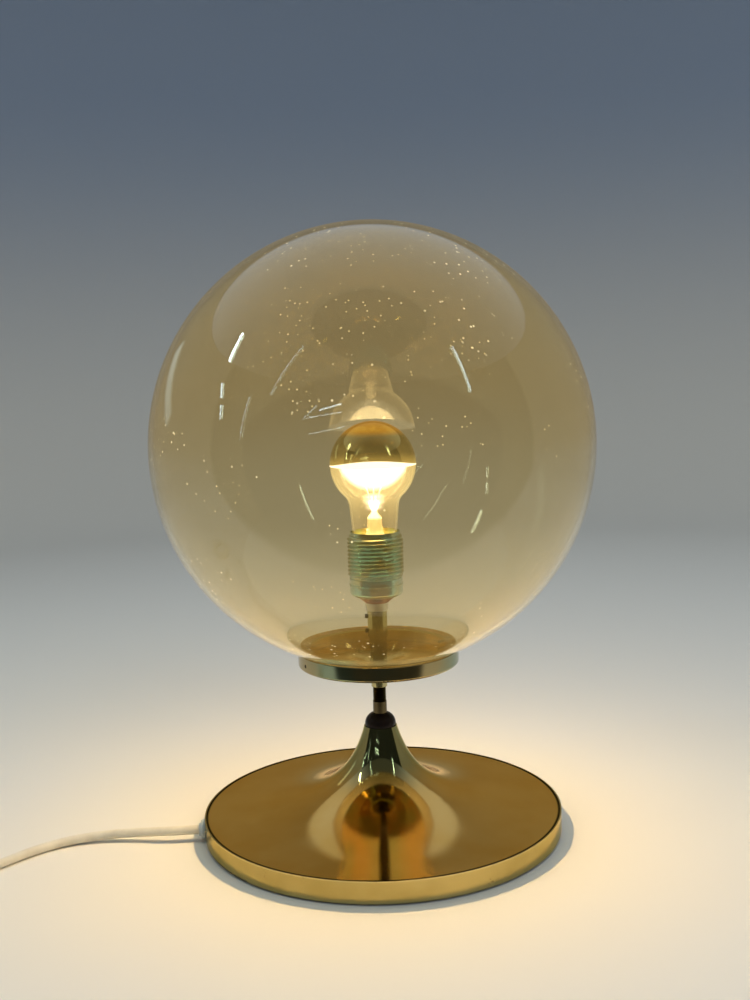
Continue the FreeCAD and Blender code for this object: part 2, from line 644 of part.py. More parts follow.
def half_turn(edges, start, radius, side, climb=0.0):
    """Adds a clockwise half turn from start, as two arcs, going west (-1) or east (+1) about its middle."""
    heading = V(side, 0, 0)
    across = V(0, -side * 1.0, 0)
    wide = math.sqrt(radius ** 2 + (climb / 2) ** 2)
    centre = start + across * radius
    middle = centre + V(side * wide, 0, climb / 2)
    end = start + across * (2 * radius) + V(0, 0, climb)
    edges.append(Part.Arc(start, mid_of_arc(start, heading, middle), middle).toShape())
    chord = middle - start
    along = chord / chord.Length
    turned = along * (2 * along.dot(heading)) - heading
    edges.append(Part.Arc(middle, mid_of_arc(middle, turned, end), end).toShape())
    return end


def coil_wire():
    """Two flat layers: in along the lower one, a climbing half turn at the middle, out along the upper one."""
    edges = [Part.LineSegment(coil_entry, V(COIL_START_X, SWITCH_Y, coil_z)).toShape()]
    here = V(COIL_START_X, SWITCH_Y, coil_z)
    side = -1
    radii = [coil_outer_r - i * coil_step / 2 for i in range(COIL_HALF_TURNS)]
    for radius in radii:
        here = half_turn(edges, here, radius, side)
        side = -side
    here = half_turn(edges, here, COIL_INNER_R, side, coil_step)
    side = -side
    for radius in reversed(radii):
        here = half_turn(edges, here, radius, side)
        side = -side
    edges.append(Part.LineSegment(here, here + V(CORD_D, 0, 0)).toShape())
    return Part.Wire(edges), here + V(CORD_D, 0, 0)


def least_gap(wire):
    """The least distance between the skins of two stretches of the wire over three diameters apart along it."""
    points = wire.discretize(Distance=2.0)
    apart = int(3 * CORD_D / 2.0)
    least = min((points[i] - points[j]).Length
                for i in range(len(points)) for j in range(i + apart, len(points)))
    return least - CORD_D


coil_path, coil_exit = coil_wire()
print("cord_coil least gap to itself", round(least_gap(coil_path), 2), "mm")
save("cord_coil", piped(coil_path, cord_r, "cord_coil"))

plug_z = PLUG_HEIGHT / 2 + FLOOR_LIFT
plug_tail_x = coil_exit.x + PLUG_TAIL_RUN
tail_route = [
    coil_exit,
    coil_exit + V(0.3 * PLUG_TAIL_RUN, 0, 0),
    V(plug_tail_x - 0.3 * PLUG_TAIL_RUN, coil_exit.y, plug_z),
    V(plug_tail_x, coil_exit.y, plug_z),
]
save("cord_tail", piped(rounded(tail_route, "cord_tail"), cord_r, "cord_tail"))

# the tie: a flat strap round all the turns at the coil's west side
turns_mid_r = (coil_outer_r + COIL_INNER_R) / 2
bundle_half = (coil_outer_r - COIL_INNER_R) / 2 + cord_r + LOOSE_GAP + 0.5
bundle_top = coil_z + coil_step + cord_r + LOOSE_GAP
tie_x = COIL_START_X - turns_mid_r
tie_y = SWITCH_Y + coil_outer_r
tie_low = FLOOR_LIFT
tie_out = Part.makeBox(2 * (bundle_half + TIE_THICK), TIE_WIDTH, bundle_top + TIE_THICK - tie_low,
                       V(tie_x - bundle_half - TIE_THICK, tie_y - TIE_WIDTH / 2, tie_low))
tie_out = tie_out.makeFillet(3.0, [e for e in tie_out.Edges if abs(e.Length - TIE_WIDTH) < 1e-6])
tie_in = Part.makeBox(2 * bundle_half, TIE_WIDTH + 2, bundle_top - tie_low - TIE_THICK + 0.1,
                      V(tie_x - bundle_half, tie_y - TIE_WIDTH / 2 - 1, tie_low + TIE_THICK - 0.1))
tie_in = tie_in.makeFillet(2.3, [e for e in tie_in.Edges if abs(e.Length - TIE_WIDTH - 2) < 1e-6])
save("cord_tie", tie_out.cut(tie_in))

# ---------------------------------------------------------------- inline switch

switch_box = Part.makeBox(SWITCH_LENGTH, SWITCH_WIDTH, SWITCH_HEIGHT,
                          V(switch_far_x, SWITCH_Y - SWITCH_WIDTH / 2, 0))
upright = [e for e in switch_box.Edges if abs(e.Length - SWITCH_HEIGHT) < 1e-6]
switch_body = switch_box.makeFillet(SWITCH_END_ROUND, upright)
cable_way = rod(cord_r + CORD_GAP, V(SWITCH_NEAR_X, SWITCH_Y, switch_mid_z), switch_in)
cable_way = cable_way.fuse(rod(cord_r + CORD_GAP, switch_out, V(switch_far_x, SWITCH_Y, switch_mid_z)))
split = Part.makeBox(SWITCH_LENGTH, SWITCH_WIDTH, switch_mid_z, V(switch_far_x, SWITCH_Y - SWITCH_WIDTH / 2, 0))
rocker_x = SWITCH_NEAR_X - SWITCH_LENGTH / 2
window = Part.makeBox(ROCKER_LENGTH + 2 * LOOSE_GAP, ROCKER_WIDTH + 2 * LOOSE_GAP, SWITCH_HEIGHT,
                      V(rocker_x - ROCKER_LENGTH / 2 - LOOSE_GAP, SWITCH_Y - ROCKER_WIDTH / 2 - LOOSE_GAP,
                        ROCKER_RISE - ROCKER_FOOT - LOOSE_GAP))
pin_half = ROCKER_WIDTH / 2 + 3.5
pin_from = V(rocker_x, SWITCH_Y - pin_half, ROCKER_RISE)
pin_to = V(rocker_x, SWITCH_Y + pin_half, ROCKER_RISE)
switch_screws = []
screw_holes = []
for x in (SWITCH_NEAR_X - 11, switch_far_x + 11):
    low = V(x, SWITCH_Y + SWITCH_WIDTH / 2 - 5, 0.6)
    high = V(x, SWITCH_Y + SWITCH_WIDTH / 2 - 5, SWITCH_HEIGHT - 3)
    switch_screws.append(rod(SWITCH_SCREW_R, low, high))
    screw_holes.append(rod(SWITCH_SCREW_R + SLIP_GAP, V(low.x, low.y, 0), high))
lower = switch_body.common(split).cut(cable_way)
upper = switch_body.cut(split).cut(cable_way).cut(window).cut(rod(PIN_R + SLIP_GAP, pin_from, pin_to))
for hole in screw_holes:
    lower = lower.cut(hole)
    upper = upper.cut(hole)
save("switch_bottom", lower)
save("switch_top", upper)
save("switch_screws", *switch_screws)
save("switch_pin", rod(PIN_R, pin_from, pin_to))

half = ROCKER_LENGTH / 2 - 0.8
rocker_face = outline(
    (-half, 0.5), (-3, -ROCKER_FOOT + 0.6), (3, -ROCKER_FOOT + 0.6), (half, 0.5), (half, ROCKER_HEAD),
    ("arc", (0, ROCKER_HEAD - 1.2), (-half, ROCKER_HEAD)))
rocker = rocker_face.extrude(V(0, ROCKER_WIDTH, 0))
rocker.translate(V(0, -ROCKER_WIDTH / 2, 0))
rocker = rocker.cut(rod(PIN_R + SLIP_GAP, V(0, -ROCKER_WIDTH, 0), V(0, ROCKER_WIDTH, 0)))
rocker.rotate(V(0, 0, 0), V(0, 1, 0), ROCKER_TILT)
rocker.translate(V(rocker_x, SWITCH_Y, ROCKER_RISE))
save("switch_rocker", rocker)

# ---------------------------------------------------------------- plug

tail_r = cord_r + 1.4
nose_x = plug_tail_x + PLUG_SLEEVE + PLUG_LENGTH
shoulder_x = plug_tail_x + PLUG_SLEEVE
y0 = coil_exit.y
corners = [V(shoulder_x, y0 - PLUG_TAIL_WIDTH / 2, 0), V(shoulder_x + 9, y0 - PLUG_WIDTH / 2, 0),
           V(nose_x - 8, y0 - PLUG_WIDTH / 2, 0), V(nose_x, y0 - PLUG_NOSE_WIDTH / 2, 0),
           V(nose_x, y0 + PLUG_NOSE_WIDTH / 2, 0), V(nose_x - 8, y0 + PLUG_WIDTH / 2, 0),
           V(shoulder_x + 9, y0 + PLUG_WIDTH / 2, 0), V(shoulder_x, y0 + PLUG_TAIL_WIDTH / 2, 0)]
plug = Part.Face(Part.makePolygon(corners + corners[:1])).extrude(V(0, 0, PLUG_HEIGHT))
plug = plug.makeFillet(2.0, [e for e in plug.Edges if abs(e.Length - PLUG_HEIGHT) > 1e-6])
plug.translate(V(0, 0, FLOOR_LIFT))
sleeve_cone = Part.makeCone(tail_r, tail_r + 1.3, PLUG_SLEEVE + 1, V(plug_tail_x, y0, plug_z), V(1, 0, 0))
plug = plug.fuse(sleeve_cone)
save("plug_body", plug)
pins = [rod(PLUG_PIN_R, V(nose_x, y0 + s * PLUG_PIN_SPACING / 2, plug_z),
            V(nose_x + PLUG_PIN_LENGTH, y0 + s * PLUG_PIN_SPACING / 2, plug_z)) for s in (-1, 1)]
save("plug_pins", *pins)

# ---------------------------------------------------------------- lead inside the lamp

bend_r = BOSS_POCKET_R
inside = [cord_start, radial(CORD_AZIMUTH, CORD_Z, bend_r)]
turn_end = V(0, 0, CORD_Z + bend_r)
turn = Part.Arc(inside[1], mid_of_arc(inside[1], radial(CORD_AZIMUTH, 0, -1), turn_end), turn_end)
lead_wire = Part.Wire([Part.LineSegment(inside[0], inside[1]).toShape(), turn.toShape(),
                       Part.LineSegment(turn_end, V(0, 0, core_bottom)).toShape()])
save("inner_lead", piped(lead_wire, LEAD_R, "inner_lead"))

print("globe centre", round(globe_z, 2), "top", round(globe_z + GLOBE_R, 2))
print("bulb top", round(bulb_top, 2), "skirt top", round(skirt_top, 2))
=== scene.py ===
import bpy
import math
from mathutils import Matrix, Vector


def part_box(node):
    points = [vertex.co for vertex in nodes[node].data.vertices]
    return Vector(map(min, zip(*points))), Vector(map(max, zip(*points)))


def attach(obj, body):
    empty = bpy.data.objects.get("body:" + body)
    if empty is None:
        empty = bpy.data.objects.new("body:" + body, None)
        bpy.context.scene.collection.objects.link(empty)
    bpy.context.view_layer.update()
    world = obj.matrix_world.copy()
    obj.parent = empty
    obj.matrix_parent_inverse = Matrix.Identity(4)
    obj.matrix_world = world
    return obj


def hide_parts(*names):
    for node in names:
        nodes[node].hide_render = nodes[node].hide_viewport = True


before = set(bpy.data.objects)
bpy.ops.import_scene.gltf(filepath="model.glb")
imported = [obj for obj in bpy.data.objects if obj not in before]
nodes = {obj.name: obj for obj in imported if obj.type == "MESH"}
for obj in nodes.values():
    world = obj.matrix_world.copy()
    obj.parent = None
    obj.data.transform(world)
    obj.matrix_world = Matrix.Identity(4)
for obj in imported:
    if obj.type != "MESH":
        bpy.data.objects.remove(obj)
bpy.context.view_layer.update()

# ---------------------------------------------------------------- camera and studio
# The camera stands 0.8 m in front of the lamp, a little under the globe's top, and looks slightly down. A round
# paper sweep makes the pale floor and the backdrop on all sides, and metal mirrors its front part dark and the rest
# warm. Soft lamps light the scene, and narrow strips draw the streaks on the glass.

CAMERA_PLACE = Vector((0.0, -0.80703, 0.3305))
CAMERA_PITCH = math.radians(6.9655)
CAMERA_ROLL = math.radians(-1.6818)
CAMERA_YAW = math.radians(0.0538)
CAMERA_LENS = 42.84
CAMERA_SENSOR = 36.0
FULL_TURN = 2 * math.pi

scene = bpy.context.scene


def into_scene(name, data):
    """An object that holds this data, put into the scene."""
    made = bpy.data.objects.new(name, data)
    scene.collection.objects.link(made)
    return made


ahead = Vector((math.sin(CAMERA_YAW) * math.cos(CAMERA_PITCH), math.cos(CAMERA_YAW) * math.cos(CAMERA_PITCH),
                -math.sin(CAMERA_PITCH)))
level = ahead.cross(Vector((0, 0, 1))).normalized()
upright = level.cross(ahead)
right = level * math.cos(CAMERA_ROLL) + upright * math.sin(CAMERA_ROLL)
top = upright * math.cos(CAMERA_ROLL) - level * math.sin(CAMERA_ROLL)
camera_data = bpy.data.cameras.new("camera")
camera_data.lens = CAMERA_LENS
camera_data.sensor_width = CAMERA_SENSOR
camera = into_scene("camera", camera_data)
camera.matrix_world = Matrix.Translation(CAMERA_PLACE) @ Matrix((right, top, -ahead)).transposed().to_4x4()
scene.camera = camera
scene.view_settings.view_transform = "Standard"


class Nodes:
    """A node tree being built, with short ways to add nodes and to join them."""

    def __init__(self, tree):
        self.tree = tree

    def join(self, value, socket):
        """Joins another node's output to this input, or sets the input to a value."""
        if isinstance(value, bpy.types.NodeSocket):
            self.tree.links.new(value, socket)
        else:
            socket.default_value = value

    def fill(self, node, **inputs):
        """Joins or sets a node's inputs by their names."""
        for name, value in inputs.items():
            self.join(value, node.inputs[name.replace("_", " ")])
        return node

    def add(self, kind, operation=None, **inputs):
        node = self.tree.nodes.new(kind)
        if operation:
            node.operation = operation
        return self.fill(node, **inputs)

    def math(self, operation, a, b=0.0, c=0.0):
        node = self.add("ShaderNodeMath", operation)
        for value, socket in zip((a, b, c), node.inputs):
            self.join(value, socket)
        return node.outputs[0]


class Finish(Nodes):
    """A material being built on its Principled shader."""

    def __init__(self, name, **settings):
        self.material = bpy.data.materials.new(name)
        self.material.use_nodes = True
        super().__init__(self.material.node_tree)
        self.shader = self.tree.nodes["Principled BSDF"]
        self.feed(**settings)

    def feed(self, **inputs):
        self.fill(self.shader, **inputs)

    def step(self, value, start, end):
        """0 under start and 1 over end, smooth between them."""
        node = self.tree.nodes.new("ShaderNodeMapRange")
        node.interpolation_type = "SMOOTHSTEP"
        for number, item in enumerate((value, start, end)):
            self.join(item, node.inputs[number])
        return node.outputs[0]

    def mix(self, share, a, b):
        """A colour between a and b."""
        node = self.tree.nodes.new("ShaderNodeMix")
        node.data_type = "RGBA"
        for name, value in (("Factor_Float", share), ("A_Color", a), ("B_Color", b)):
            self.join(value, next(s for s in node.inputs if s.identifier == name))
        return next(s for s in node.outputs if s.identifier == "Result_Color")

    def point(self):
        """The surface point in the lamp's own coordinates."""
        return self.add("ShaderNodeTexCoord").outputs["Object"]

    def axes(self):
        """The surface point's x, y and z."""
        return self.add("ShaderNodeSeparateXYZ", Vector=self.point()).outputs

    def radius(self):
        """How far the surface point is from the lamp's upright axis."""
        x, y, _ = self.axes()
        return self.math("SQRT", self.math("MULTIPLY_ADD", x, x, self.math("MULTIPLY", y, y)))

    def noise(self, scale, **settings):
        """A cloudy value over the surface."""
        return self.add("ShaderNodeTexNoise", Vector=self.point(), Scale=scale, **settings).outputs["Fac"]

    def bump(self, strength, depth, height):
        return self.add("ShaderNodeBump", Strength=strength, Distance=depth, Height=height).outputs[0]


def colour(r, g, b):
    return (r, g, b, 1.0)


FLOOR_TONE = colour(0.80, 0.75, 0.66)
BACKDROP_TONE = colour(0.31, 0.36, 0.45)
BACKDROP_FROM, BACKDROP_TO = 0.02, 0.95
WARM_TONE = colour(0.74, 0.60, 0.42)
WARM_FROM, WARM_TO = 0.0, 0.3
DARK_TONE = colour(0.05, 0.048, 0.035)
DARK_FROM, DARK_TO = -0.22, -0.28

paper = Finish("studio_paper", Roughness=0.9, Specular_IOR_Level=0.2)
_, paper_y, paper_z = paper.axes()
seen_paper = paper.mix(paper.step(paper_z, BACKDROP_FROM, BACKDROP_TO), FLOOR_TONE, BACKDROP_TONE)
in_metal = paper.add("ShaderNodeLightPath").outputs["Is Glossy Ray"]
warm_wall = paper.math("MULTIPLY", in_metal, paper.step(paper_z, WARM_FROM, WARM_TO))
dark_front = paper.math("MULTIPLY", in_metal, paper.step(paper_y, DARK_FROM, DARK_TO))
paper.feed(Base_Color=paper.mix(dark_front, paper.mix(warm_wall, seen_paper, WARM_TONE), DARK_TONE))

FLOOR_R = 1.45
BEND_R = 0.55
WALL_TOP = 1.55
SWEEP_SIDES = 96
BEND_STEPS = 12

profile = [(FLOOR_R + BEND_R * math.sin(a), BEND_R * (1 - math.cos(a)))
           for a in (math.pi / 2 * k / BEND_STEPS for k in range(BEND_STEPS + 1))]
profile.append((FLOOR_R + BEND_R, WALL_TOP))
ring = [FULL_TURN * k / SWEEP_SIDES for k in range(SWEEP_SIDES)]
sweep_corners = [(r * math.cos(a), r * math.sin(a), z) for r, z in profile for a in ring]
sweep_floor = [tuple(range(SWEEP_SIDES))]
sweep_wall = [(i * SWEEP_SIDES + k, (i + 1) * SWEEP_SIDES + k,
               (i + 1) * SWEEP_SIDES + (k + 1) % SWEEP_SIDES, i * SWEEP_SIDES + (k + 1) % SWEEP_SIDES)
              for i in range(len(profile) - 1) for k in range(SWEEP_SIDES)]
sweep_mesh = bpy.data.meshes.new("paper_sweep")
sweep_mesh.from_pydata(sweep_corners, [], sweep_floor + sweep_wall)
sweep_mesh.polygons.foreach_set("use_smooth", [True] * len(sweep_mesh.polygons))
sweep_mesh.materials.append(paper.material)
paper_sweep = into_scene("paper_sweep", sweep_mesh)

LAMP_MIDDLE = Vector((0.0, 0.0, 0.2))
GLOBE_MIDDLE = Vector((0.0, 0.0, 0.269))
SKY_WHITE = (0.74, 0.87, 1.0)
STREAK_BLUE = (0.72, 0.95, 1.0)


def flat_lamp(name, place, turn, size, watts, tint, mirrored):
    """A rectangular lamp that the camera doesn't see. Unless mirrored, it lights but shows in no metal or glass."""
    data = bpy.data.lights.new(name, "AREA")
    data.shape = "RECTANGLE"
    data.size, data.size_y = size
    data.energy = watts
    data.color = tint
    lamp = into_scene(name, data)
    lamp.location = place
    lamp.rotation_mode = "QUATERNION"
    lamp.rotation_quaternion = turn
    lamp.visible_glossy = mirrored
    lamp.visible_transmission = mirrored
    lamp.visible_camera = False


def softbox(name, place, size, watts):
    """A soft lamp, turned to the middle of the table lamp."""
    place = Vector(place)
    flat_lamp(name, place, (LAMP_MIDDLE - place).to_track_quat("-Z", "Y"), size, watts, SKY_WHITE, False)


def strip(name, start, end, width, radiance):
    """A narrow lamp from start to end that faces the globe, for metal and glass to mirror as a streak."""
    start, end = Vector(start), Vector(end)
    middle = (start + end) / 2
    length = (end - start).length
    back = (middle - GLOBE_MIDDLE).normalized()
    across = (end - start).cross(back).normalized()
    turn = Matrix((across, back.cross(across), back)).transposed().to_quaternion()
    flat_lamp(name, middle, turn, (width, length), radiance * math.pi * width * length, STREAK_BLUE, True)


softbox("overhead_soft", (0.1, 0.1, 1.9), (1.1, 1.1), 13.0)
softbox("front_soft", (0.7, -1.2, 1.25), (1.0, 0.8), 5.0)
strip("left_bold_strip", (-0.807, -0.023, 1.020), (-0.929, -0.106, 0.860), 0.022, 45.0)
strip("left_strip_high", (-0.994, -0.153, 0.733), (-1.024, -0.211, 0.644), 0.012, 20.0)
strip("left_strip_low", (-1.034, -0.238, 0.601), (-1.053, -0.268, 0.508), 0.012, 16.0)
strip("left_thin_strip", (-0.906, -0.492, 0.717), (-0.992, -0.516, 0.383), 0.006, 8.0)
strip("near_thin_strip", (-0.512, -0.567, 1.100), (-0.784, -0.657, 0.752), 0.006, 9.0)
strip("row_slant_strip", (-0.583, -0.933, 0.576), (-0.457, -0.955, 0.702), 0.005, 8.0)
strip("row_top_strip", (-0.443, -0.979, 0.663), (-0.258, -1.024, 0.716), 0.007, 14.0)
strip("row_middle_strip", (-0.551, -0.947, 0.594), (-0.261, -1.050, 0.650), 0.005, 10.0)
strip("row_low_strip", (-0.543, -0.989, 0.462), (-0.232, -1.095, 0.525), 0.004, 8.0)
strip("right_strip", (0.627, -0.514, 1.051), (0.791, -0.670, 0.723), 0.012, 16.0)
strip("broad_strip", (-0.692, 0.714, 0.605), (-0.948, 0.479, 0.382), 0.10, 0.5)

# the world is dark in front of the lamp and pale behind it
FRONT_SKY = colour(0.075, 0.075, 0.06)
BACK_SKY = colour(0.42, 0.46, 0.52)

world = bpy.data.worlds.new("studio")
scene.world = world
world.use_nodes = True
sky = Nodes(world.node_tree)
sky_direction = sky.add("ShaderNodeTexCoord").outputs["Generated"]
front_to_back = sky.add("ShaderNodeSeparateXYZ", Vector=sky_direction).outputs[1]
sky_ramp = sky.add("ShaderNodeValToRGB", Fac=sky.math("MULTIPLY_ADD", front_to_back, 0.5, 0.5))
for stop, place, tone in zip(sky_ramp.color_ramp.elements, (0.25, 0.7), (FRONT_SKY, BACK_SKY)):
    stop.position = place
    stop.color = tone
sky.fill(world.node_tree.nodes["Background"], Color=sky_ramp.outputs[0])

# ---------------------------------------------------------------- cord
# A round two-core mains lead in off-white PVC, 1.85 m long. It leaves the rim at the left through a snap-in
# bush, runs through the inline switch, and its spare length lies in a tied coil of two layers, ending at the plug.

MM = 0.001
CORD_D = 6.3 * MM
COIL_X = -417.0
COIL_SOUTH = -82.0
COIL_LOW = 3.95
COIL_STEP = 6.8
COIL_OUTER_R = 45.7
COIL_INNER_R = 25.3
COIL_HALF_TURNS = 6
POINTS_PER_HALF_TURN = 8

# in millimetres: out through the bush, down onto the table, up through the switch and down to the coil
route = [(-113.20, -14.70, 8), (-139.33, -18.10, 8), (-164, -15.0, 6.6), (-187, -12.6, 5.0), (-209, -15.4, 3.9),
         (-229, -25, 3.25), (-243, -39, 3.25), (-256, -55, 3.25), (-272, -70, 3.25), (-291, -79, 4.2),
         (-310, -82, 8.2), (-329, -82, 8.5), (-371, -82, 8.5), (-382, -82, 8.5), (-397.7, -82, COIL_LOW),
         (-410.7, -82, COIL_LOW)]
inward = [COIL_OUTER_R - i * COIL_STEP / 2 for i in range(COIL_HALF_TURNS)]
half_turns = ([(r, COIL_LOW, 0.0) for r in inward] + [(COIL_INNER_R, COIL_LOW, COIL_STEP)]
              + [(r, COIL_LOW + COIL_STEP, 0.0) for r in reversed(inward)])
swell = 1 / math.cos(math.pi / POINTS_PER_HALF_TURN / 2)    # the spline runs just inside its points
start_y = COIL_SOUTH
side = -1
for bend_r, base_z, climb in half_turns:
    middle_y = start_y - side * bend_r
    for k in range(POINTS_PER_HALF_TURN):
        passed_part = (k + 0.5) / POINTS_PER_HALF_TURN
        bearing = math.pi * passed_part
        route.append((COIL_X + side * bend_r * swell * math.sin(bearing),
                      middle_y + side * bend_r * swell * math.cos(bearing), base_z + climb * passed_part))
    start_y -= 2 * side * bend_r
    side = -side
# off the coil's upper layer and level into the plug's sleeve
upper_z = COIL_LOW + COIL_STEP
route += [(COIL_X, start_y, upper_z), (-410.7, start_y, upper_z), (-399.9, start_y, upper_z),
          (-385.5, start_y, 6.95), (-374.7, start_y, 6.95)]

CORD_GREYED = colour(0.68, 0.61, 0.47)
CORD_CLEAN = colour(0.76, 0.70, 0.56)
CORD_ROUGHNESS = 0.33
GRIME_ROUGHENS = 0.2

pvc = Finish("cord_pvc", Specular_IOR_Level=0.4)
cord_grime = pvc.noise(900.0, Detail=2.0)
pvc.feed(Base_Color=pvc.mix(pvc.step(pvc.noise(60.0, Detail=4.0), 0.35, 0.7), CORD_GREYED, CORD_CLEAN),
         Roughness=pvc.math("MULTIPLY_ADD", cord_grime, GRIME_ROUGHENS, CORD_ROUGHNESS),
         Normal=pvc.bump(0.08, 0.0003, cord_grime))

cord_curve = bpy.data.curves.new("cord", "CURVE")
cord_curve.dimensions = "3D"
cord_spline = cord_curve.splines.new("NURBS")
cord_spline.points.add(len(route) - 1)
for point, (x, y, z) in zip(cord_spline.points, route):
    point.co = (x * MM, y * MM, z * MM, 1.0)
cord_spline.order_u = 3
cord_spline.use_endpoint_u = True
cord_spline.resolution_u = 5
cord_curve.bevel_depth = CORD_D / 2
cord_curve.bevel_resolution = 5
cord_curve.use_fill_caps = True
cord_curve.materials.append(pvc.material)
cord = into_scene("cord", cord_curve)
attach(cord, "lamp")
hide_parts("cord_lead", "cord_link", "cord_coil", "cord_tail")


def paint(finish, *names):
    """Gives these CAD nodes a finish in place of their plain one."""
    for name in names:
        mesh = nodes[name].data
        mesh.materials.clear()
        mesh.materials.append(finish.material)


# the lead's inner two cores go on from the bush to the lampholder in the same stuff
paint(pvc, "inner_lead")

# ---------------------------------------------------------------- cord fittings
# Bush, tie, switch and plug are moulded plastics with a fine spark-eroded grain, made in a satin and a glossier
# finish. The switch's screws and pin are zinc-plated steel and the plug's pins nickel-plated brass.

FLOAT = "NodeSocketFloat"
VECTOR = "NodeSocketVector"


class Marks(Nodes):
    """A shader node group being built, for marks that more than one finish shows."""

    def __init__(self, name, inputs, outputs):
        super().__init__(bpy.data.node_groups.new(name, "ShaderNodeTree"))
        for label, kind in inputs.items():
            self.tree.interface.new_socket(label, in_out="INPUT", socket_type=kind)
        for label in outputs:
            self.tree.interface.new_socket(label, in_out="OUTPUT", socket_type=FLOAT)
        self.given = self.tree.nodes.new("NodeGroupInput").outputs
        self.result = self.tree.nodes.new("NodeGroupOutput")

    def on(self, finish, **inputs):
        """The group's outputs in a finish, with the values given here."""
        node = finish.tree.nodes.new("ShaderNodeGroup")
        node.node_tree = self.tree
        finish.fill(node, Vector=finish.point(), **inputs)
        return node.outputs


grain = Marks("moulded_grain", {"Vector": VECTOR, "Size": FLOAT}, ("Height", "Cloud"))
grain_fine = grain.add("ShaderNodeTexNoise", Vector=grain.given["Vector"], Scale=grain.given["Size"], Detail=3.0)
grain_cloud = grain.add("ShaderNodeTexNoise", Vector=grain.given["Vector"], Scale=45.0)
grain.fill(grain.result, Height=grain_fine.outputs["Fac"], Cloud=grain_cloud.outputs["Fac"])


CLOUD_FROM, CLOUD_TO = 0.35, 0.65
GRAIN_ROUGHENS = 0.15
GRAIN_STRENGTH = 0.25


def moulded(name, dark, light, rough, size, depth):
    """A moulded plastic between two colours, with its grain in the surface."""
    plastic = Finish(name)
    made = grain.on(plastic, Size=size)
    plastic.feed(Base_Color=plastic.mix(plastic.step(made["Cloud"], CLOUD_FROM, CLOUD_TO), dark, light),
                 Roughness=plastic.math("MULTIPLY_ADD", made["Height"], GRAIN_ROUGHENS, rough),
                 Normal=plastic.bump(GRAIN_STRENGTH, depth, made["Height"]))
    return plastic


bush_plastic = moulded("bush_plastic", colour(0.42, 0.47, 0.47), colour(0.52, 0.57, 0.57), 0.38, 1500.0, 0.0001)
shell_plastic = moulded("shell_plastic", colour(0.70, 0.67, 0.59), colour(0.76, 0.73, 0.66), 0.30, 1200.0, 0.0001)
rocker_plastic = moulded("rocker_plastic", colour(0.62, 0.59, 0.51), colour(0.68, 0.65, 0.57), 0.22, 2200.0,
                         0.00005)
paint(bush_plastic, "cord_gland", "cord_tie")
paint(shell_plastic, "switch_bottom", "switch_top", "plug_body")
paint(rocker_plastic, "switch_rocker")

turning = Marks("turning_marks", {"Vector": VECTOR, "Lines": FLOAT}, ("Lines", "Smear"))
turned_x, turned_y, turned_z = turning.add("ShaderNodeSeparateXYZ", Vector=turning.given["Vector"]).outputs
from_axis = turning.add("ShaderNodeVectorMath", "LENGTH",
                        Vector=turning.add("ShaderNodeCombineXYZ", X=turned_x, Y=turned_y).outputs[0])
across_lines = turning.add("ShaderNodeCombineXYZ", X=from_axis.outputs["Value"], Y=turned_z)
fine_lines = turning.add("ShaderNodeVectorMath", "SCALE", Vector=across_lines.outputs[0],
                         Scale=turning.given["Lines"])
line_noise = turning.add("ShaderNodeTexNoise", Vector=fine_lines.outputs[0], Scale=1.0, Detail=3.0)
smear_noise = turning.add("ShaderNodeTexNoise", Vector=turning.given["Vector"], Scale=22.0, Detail=5.0)
turning.fill(turning.result, Lines=line_noise.outputs["Fac"], Smear=smear_noise.outputs["Fac"])


SMEAR_FROM, SMEAR_TO = 0.3, 0.7
SMEAR_ROUGHENS = 0.12
LINES_ROUGHEN = 0.08
LINES_STRENGTH = 0.3


def turned(name, dark, light, rough, lines, depth, **settings):
    """A metal turned or spun about the lamp's axis. It keeps its tone, height and smear for further marks."""
    metal = Finish(name, Metallic=1.0, **settings)
    made = turning.on(metal, Lines=lines)
    metal.smear = made["Smear"]
    metal.height = metal.axes()[2]
    metal.tone = metal.mix(metal.step(metal.smear, SMEAR_FROM, SMEAR_TO), dark, light)
    smeared = metal.math("MULTIPLY_ADD", metal.smear, SMEAR_ROUGHENS, rough - SMEAR_ROUGHENS / 2)
    metal.feed(Base_Color=metal.tone, Normal=metal.bump(LINES_STRENGTH, depth, made["Lines"]),
               Roughness=metal.math("MULTIPLY_ADD", made["Lines"], LINES_ROUGHEN, smeared))
    return metal


zinc_steel = turned("zinc_steel", colour(0.42, 0.42, 0.41), colour(0.56, 0.56, 0.55), 0.32, 3000.0, 0.00003)
nickel = turned("nickel", colour(0.62, 0.60, 0.55), colour(0.74, 0.72, 0.67), 0.14, 2500.0, 0.00002)
paint(zinc_steel, "switch_screws", "switch_pin", "stem_nuts", "stem_washers", "holder_nut", "base_cover")
paint(nickel, "plug_pins")

# ---------------------------------------------------------------- base
# A sheet-brass trumpet, spun and mirror-polished, drops into a brushed brass rim band. A cast-iron weight,
# a sheet-steel cover and a green felt close it from below.

PLATE_EDGE = 0.1216
PLATE_EDGE_BLEND = 0.0008
NECK_FROM, NECK_TO = 0.030, 0.052
NECK_DARK_REFLECTION = colour(0.42, 0.41, 0.20)
GROOVE_PAINTED_SHADE = colour(0.06, 0.035, 0.015)
PLATE_ROUGHNESS = 0.04
PLATE_SMEAR_ROUGHENS = 0.10

